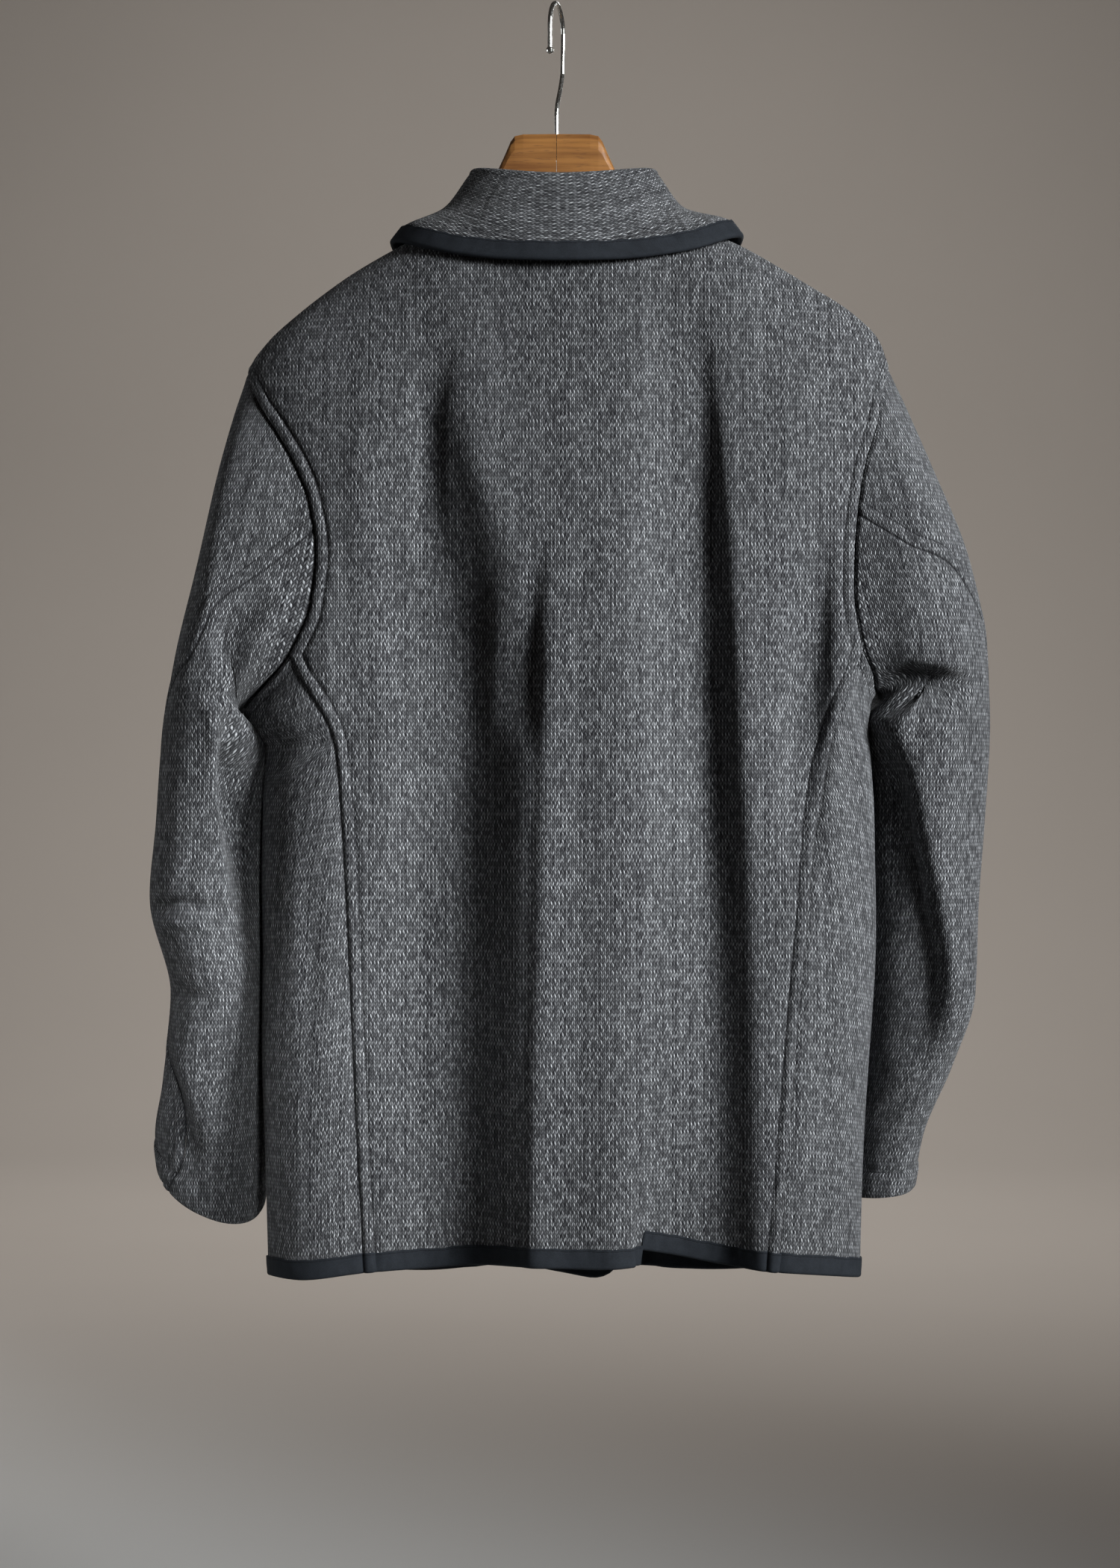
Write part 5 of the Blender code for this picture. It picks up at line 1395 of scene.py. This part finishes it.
def collar_grid():
    """Rows from the stand's foot over the crease to the fall's edge."""
    end = COLLAR_END / 360.0
    around = np.linspace(FRONT_PLACE + end, 1 + FRONT_PLACE - end, COLLAR_ACROSS)
    place = np.where(around > 1.0, around - 1.0, around)
    drop = np.clip(NECK_FRONT_DROP * forward_share(place) ** 2 - NECK_POINT, 0.0, None)
    foot = torso(place, NECK_HEIGHT - drop)
    crease = collar_ring(CREASE_RING, place)
    edge = collar_ring(FALL_RING, place)
    outwards = edge - foot
    outwards[:, 2] = 0.0
    outwards = unit(outwards)
    up = np.array((0.0, 0.0, 1.0))
    inset = CLOTH + STAND_INSET * ease(0.0, STAND_INSET_REACH, foot[:, 1:2])
    stand_foot = foot - outwards * inset + up * STAND_LIFT
    middle = crease - up * CREASE_ROUND
    rise = middle - outwards * CREASE_ROUND - stand_foot
    rows = [stand_foot + rise * t for t in np.linspace(0, 1, STAND_STEPS + 1)[:-1]]
    for turn in np.linspace(math.pi, 0.0, CREASE_STEPS + 1):
        rows.append(middle + (outwards * math.cos(turn) + up * math.sin(turn)) * CREASE_ROUND)
    start = rows[-1]
    tape_share = 1 - TAPE_ROW / np.linalg.norm(edge - start, axis=-1, keepdims=True)
    tape_row = start + (edge - start) * tape_share
    hollow_side = SIDE_HOLLOW * np.abs(np.cos(2 * math.pi * place))[:, None] ** SIDE_HOLLOW_POWER
    half_row = (start + tape_row) / 2 + (outwards + up) * (FALL_SWELL - hollow_side)
    shifts = [lifted_off(row, FALL_CLEAR) - row for row in (tape_row, edge)]
    farther = np.linalg.norm(shifts[0], axis=-1) > np.linalg.norm(shifts[1], axis=-1)
    shift = np.where(farther[:, None], shifts[0], shifts[1])
    knots = np.array((start, lifted_off(half_row, FALL_CLEAR), tape_row + shift, edge + shift))
    fall = np.linspace(0.0, len(knots) - 1.0, FALL_STEPS + 1)[1:]
    rows += list(smooth_through(np.arange(len(knots)), knots, fall))
    points = np.array(rows)
    normals = unit(np.cross(np.gradient(points, axis=1), np.gradient(points, axis=0))) * -1.0
    return points, normals


def add_collar():
    points, normals = collar_grid()
    sides = cloth_map(points, points.shape[1] // 2)
    maps = {"cloth": sides[..., ::-1].copy(), "seam": np.full(sides.shape, FAR_FROM_SEAM)}
    return add_shell("collar_band", points, normals, maps, WOOL), points, normals


collar, collar_points, collar_normals = add_collar()
print("collar:", len(collar.data.polygons), "faces")

# %% [markdown]
# ## Binding tape
# The tape is folded over the raw edge and stitched through. It is swept along the edge as a U, and it
# puckers a little between its stitches.

# %% Bindings
TAPE_THICK = 0.0008
TAPE_LIFT = 0.0002
TAPE_LEG = (1.0, 0.93, 0.86, 0.70, 0.45, 0.20, 0.0)
TAPE_ARC = 9
PUCKER = 0.00060
PUCKER_START = 0.1 * TAPE_WIDTH
PUCKER_FULL = 0.6 * TAPE_WIDTH
PUCKER_REACH = 0.05
PUCKER_SHIFT = (0.77, 0.4)
CORNER_POINTS = 8
DRAG_AT = 0.022
DRAG_WIDE = 0.020
DRAG_HIGH = 0.0010
DRAG_WAVE = 0.0068
DRAG_SLANT = 0.9
PUCKER_WAVES = ((0.0173, 0.3), (0.0287, 1.9), (0.0091, 4.1))


def tape_section():
    """The U's middle line: how far out of the cloth's outer face, and how far in from its edge."""
    half = CLOTH / 2 + TAPE_LIFT + TAPE_THICK / 2
    reach = np.array(TAPE_LEG) * TAPE_WIDTH
    leg = np.full(len(reach), half)
    arc = np.linspace(0.0, math.pi, TAPE_ARC)[1:-1]
    out = np.concatenate((leg, half * np.cos(arc), -leg)) - CLOTH / 2
    past = np.concatenate((reach, -half * np.sin(arc), reach[::-1]))
    return np.stack((out, past), axis=-1)


def puckers(along):
    waves = [np.sin(2 * math.pi * along / wave + phase) for wave, phase in PUCKER_WAVES]
    return sum(waves) / len(waves)


def add_tape(name, edge, normals, inwards, drag_high=0.0):
    section = tape_section()
    ways = unit(np.gradient(section, axis=0))
    sides = np.stack((ways[:, 1], -ways[:, 0]), axis=-1)
    inside = np.sum(sides * (section - section.mean(axis=0)), axis=-1) < 0
    sides = sides * np.where(inside, -1.0, 1.0)[:, None]
    around = np.concatenate((section + sides * TAPE_THICK / 2, (section - sides * TAPE_THICK / 2)[::-1]))
    along = lengths_along(edge, 0)
    on_leg = ease(PUCKER_START, PUCKER_FULL, around[:, 1])
    push = PUCKER * puckers(along)[:, None] * on_leg[None] * np.sign(around[:, 0] + CLOTH / 2)[None]
    stretch, shift = PUCKER_SHIFT
    drawn = puckers(along * stretch + shift)[:, None] * on_leg[None]
    reach = around[:, 1][None] * (1 + PUCKER_REACH * drawn)
    slanted = (along[:, None] + DRAG_SLANT * around[:, 1][None]) / DRAG_WAVE
    near_drag = np.exp(-((edge[:, 0] - DRAG_AT) / DRAG_WIDE) ** 2)[:, None]
    drag = drag_high * near_drag * np.sin(2 * math.pi * slanted)
    push = push + drag * on_leg[None] * (around[:, 0] > -CLOTH / 2)[None]
    out = around[:, 0][None] + push
    points = edge[:, None] + normals[:, None] * out[..., None] + inwards[:, None] * reach[..., None]
    rings, count = points.shape[:2]
    index = np.arange(rings * count).reshape(rings, count)
    turned = np.roll(index, -1, axis=1)
    faces = np.stack((index[:-1], turned[:-1], turned[1:], index[1:]), axis=-1).reshape(-1, 4)
    caps = []
    for ring in (index[0], index[-1][::-1]):
        for k in range(count // 2 - 1):
            caps.append((ring[k], ring[k + 1], ring[count - 2 - k], ring[count - 1 - k]))
    faces = np.concatenate((faces, np.array(caps)))
    unrolled = lengths_along(np.concatenate((section, section[::-1])), 0)
    cloth = np.stack(np.broadcast_arrays(along[:, None], unrolled[None]), axis=-1)
    from_edge = np.broadcast_to(np.abs(TAPE_WIDTH - around[:, 1])[None], points.shape[:2])
    seam = np.stack(np.broadcast_arrays(from_edge, along[:, None]), axis=-1)
    maps = {"cloth": cloth.reshape(-1, 2), "seam": seam.reshape(-1, 2)}
    tape = add_mesh(name, points.reshape(-1, 3), faces, maps, TAPE)
    return turned_out(tape)


def turned_out(thing):
    """Faces turned outwards, as Recalculate Outside does by hand."""
    bpy.ops.object.select_all(action="DESELECT")
    bpy.context.view_layer.objects.active = thing
    thing.select_set(True)
    bpy.ops.object.mode_set(mode="EDIT")
    bpy.ops.mesh.select_all(action="SELECT")
    bpy.ops.mesh.normals_make_consistent(inside=False)
    bpy.ops.object.mode_set(mode="OBJECT")
    return thing


def front_edge(points, normals):
    """A front's edge along the hem and up the lap, with the way into the cloth at each point."""
    hem_in = unit(points[3] - points[0])
    lap_in = unit(points[1:, -4] - points[1:, -1])
    for k in range(CORNER_POINTS):
        share = (k + 1) / (CORNER_POINTS + 1) / 2
        hem = k - CORNER_POINTS
        lap = CORNER_POINTS - 1 - k
        hem_in[hem] = unit(hem_in[hem] * (1 - share) + lap_in[0] * share)
        lap_in[lap] = unit(lap_in[lap] * (1 - share) + hem_in[-CORNER_POINTS] * share)
    edge = np.concatenate((points[0], points[1:, -1]))
    inwards = np.concatenate((hem_in, lap_in))
    edge_normals = np.concatenate((normals[0], normals[1:, -1]))
    last = len(points[0]) + int(np.sum(points[1:, -1, 2] < NECK_HEIGHT - NECK_FRONT_DROP - TAPE_WIDTH))
    return edge[:last], edge_normals[:last], inwards[:last]


bindings = {}
hem_normals = grid_normals(back_points, back_normals)[0]
hem_inwards = unit(back_points[3] - back_points[0])
bindings["back"] = add_tape("hem_tape_back", back_points[0], hem_normals, hem_inwards)
fall_normals = grid_normals(collar_points, collar_normals)[-1]
fall_inwards = unit(collar_points[-4] - collar_points[-1])
bindings["collar"] = add_tape("collar_tape", collar_points[-1], fall_normals, fall_inwards, DRAG_HIGH)
for side, (_, points, normals) in fronts.items():
    edge, edge_normals, inwards = front_edge(points, grid_normals(points, normals))
    bindings[f"front_{side}"] = add_tape(f"edge_tape_{side}", edge, edge_normals, inwards)
print("tapes:", [len(tape.data.polygons) for tape in bindings.values()], "faces")

# %% [markdown]
# ## Floor, camera and light
# A pale floor turns up into a wall far behind, so that a camera can also go round to the front. The camera
# is level with the middle of the jacket, as in the picture, and one large soft light from the right picks
# out the folds. Small lights help it: a weak fill, one on the lower left sleeve, one along the left edge,
# one on the wall, and one for the front, which the back never sees.

# %% Stage
FLOOR = -1.30
WALL = 6.0
WALL_HIGH = 8.0
WALL_SWEEP = 1.6
STAGE_WIDE = 20.0
SWEEP_STEPS = 24
PAPER = ((0.58, 0.575, 0.56, 1.0), (0.62, 0.615, 0.60, 1.0))
LENS = 82.4
SENSOR = 36.0
CAMERA_PLACE = (0.0, -2.6, -0.5637)
COOL = (0.95, 0.98, 1.0)
WARM = (1.0, 0.90, 0.82)
LIGHT_COLUMNS = ("name", "place", "target", "size", "spread", "power", "colour")
LIGHTS = (
    ("key", (1.80, -1.36, 0.10), (0.06, 0.0, -0.54), 1.3, 32.0, 9.2, COOL),
    ("fill", (-0.6, -3.0, 0.3), (0.0, 0.0, -0.55), 1.6, 90.0, 0.15, WARM),
    ("accent", (0.30, -2.4, -0.3), (-0.265, -0.02, -0.775), 0.3, 11.0, 0.17, COOL),
    ("edge", (-1.9, 0.30, -0.25), (-0.26, 0.0, -0.55), 0.7, 50.0, 0.7, COOL),
    ("wall", (0.0, 2.2, 2.5), (0.0, 4.7, -1.26), 1.6, 120.0, 45.0, WARM),
    ("front", (0.4, 3.0, 0.35), (0.0, 0.0, -0.50), 1.2, 40.0, 3.5, COOL),
)
WORLD_COLOUR = (1.0, 0.88, 0.80, 1.0)
WORLD_STRENGTH = 0.03


def add_stage():
    bpy.ops.object.select_all(action="DESELECT")
    bpy.ops.mesh.primitive_plane_add(size=STAGE_WIDE, location=(0.0, WALL - STAGE_WIDE / 2, FLOOR))
    floor = bpy.context.object
    floor.name = "stage_floor"
    bpy.ops.object.transform_apply(location=True, rotation=True, scale=True)
    corners = floor.data.vertices
    far = [edge.index for edge in floor.data.edges
           if min(corners[v].co.y for v in edge.vertices) > WALL - WALL_SWEEP]
    bpy.ops.object.mode_set(mode="EDIT")
    bpy.ops.mesh.select_mode(type="EDGE")
    bpy.ops.mesh.select_all(action="DESELECT")
    bpy.ops.object.mode_set(mode="OBJECT")
    for index in far:
        floor.data.edges[index].select = True
    bpy.ops.object.mode_set(mode="EDIT")
    bpy.ops.mesh.extrude_region_move(TRANSFORM_OT_translate={"value": (0.0, 0.0, WALL_HIGH)})
    bpy.ops.object.mode_set(mode="OBJECT")
    curve = floor.modifiers.new("sweep", "BEVEL")
    curve.width = WALL_SWEEP
    curve.segments = SWEEP_STEPS
    curve.limit_method = "ANGLE"
    bpy.ops.object.modifier_apply(modifier="sweep")
    floor.data.shade_smooth()
    paper = Finish("pale_paper", Roughness=0.9)
    drift = paper.cloud(paper.places(), 1.5, 2.0)
    paper.feed("Base Color", paper.mix(drift, *PAPER))
    floor.data.materials.append(paper.material)


def add_light(name, place, target, size, spread, power, colour):
    lamp = bpy.data.lights.new(name, "AREA")
    lamp.shape = "DISK"
    lamp.size = size
    lamp.spread = math.radians(spread)
    lamp.energy = power
    lamp.color = colour
    thing = bpy.data.objects.new(name, lamp)
    bpy.context.scene.collection.objects.link(thing)
    thing.location = place
    thing.visible_camera = False
    way = np.array(target) - np.array(place)
    flat = math.hypot(way[0], way[1])
    thing.rotation_euler = (math.atan2(flat, -way[2]), 0.0, math.atan2(-way[0], way[1]))


def add_camera():
    view = bpy.data.cameras.new("camera")
    view.lens = LENS
    view.sensor_width = SENSOR
    camera = bpy.data.objects.new("camera", view)
    bpy.context.scene.collection.objects.link(camera)
    camera.location = CAMERA_PLACE
    camera.rotation_euler = (math.pi / 2, 0.0, 0.0)
    bpy.context.scene.camera = camera


add_stage()
add_camera()
for row in LIGHTS:
    add_light(**dict(zip(LIGHT_COLUMNS, row)))
world = bpy.data.worlds.new("studio")
world.use_nodes = True
sky = world.node_tree.nodes["Background"].inputs
sky["Color"].default_value = WORLD_COLOUR
sky["Strength"].default_value = WORLD_STRENGTH
bpy.context.scene.world = world
bpy.context.scene.view_settings.view_transform = "Standard"
print("lights:", len(LIGHTS))

# %% [markdown]
# ## The pieces on the body
# Every piece rides on the one body, and the plain solid it stands for is hidden.

# %% Ride and replace
def hand_over(piece, node):
    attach(piece, "root")
    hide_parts(node)


hand_over(back, "back")
for side in ("left", "right"):
    hand_over(fronts[side][0], f"front_{side}")
    for piece in ("top", "under"):
        hand_over(sleeves[side, piece], f"sleeve_{side}_{piece}")
hand_over(collar, "collar")
for name, tape in bindings.items():
    hand_over(tape, f"binding_{name}")
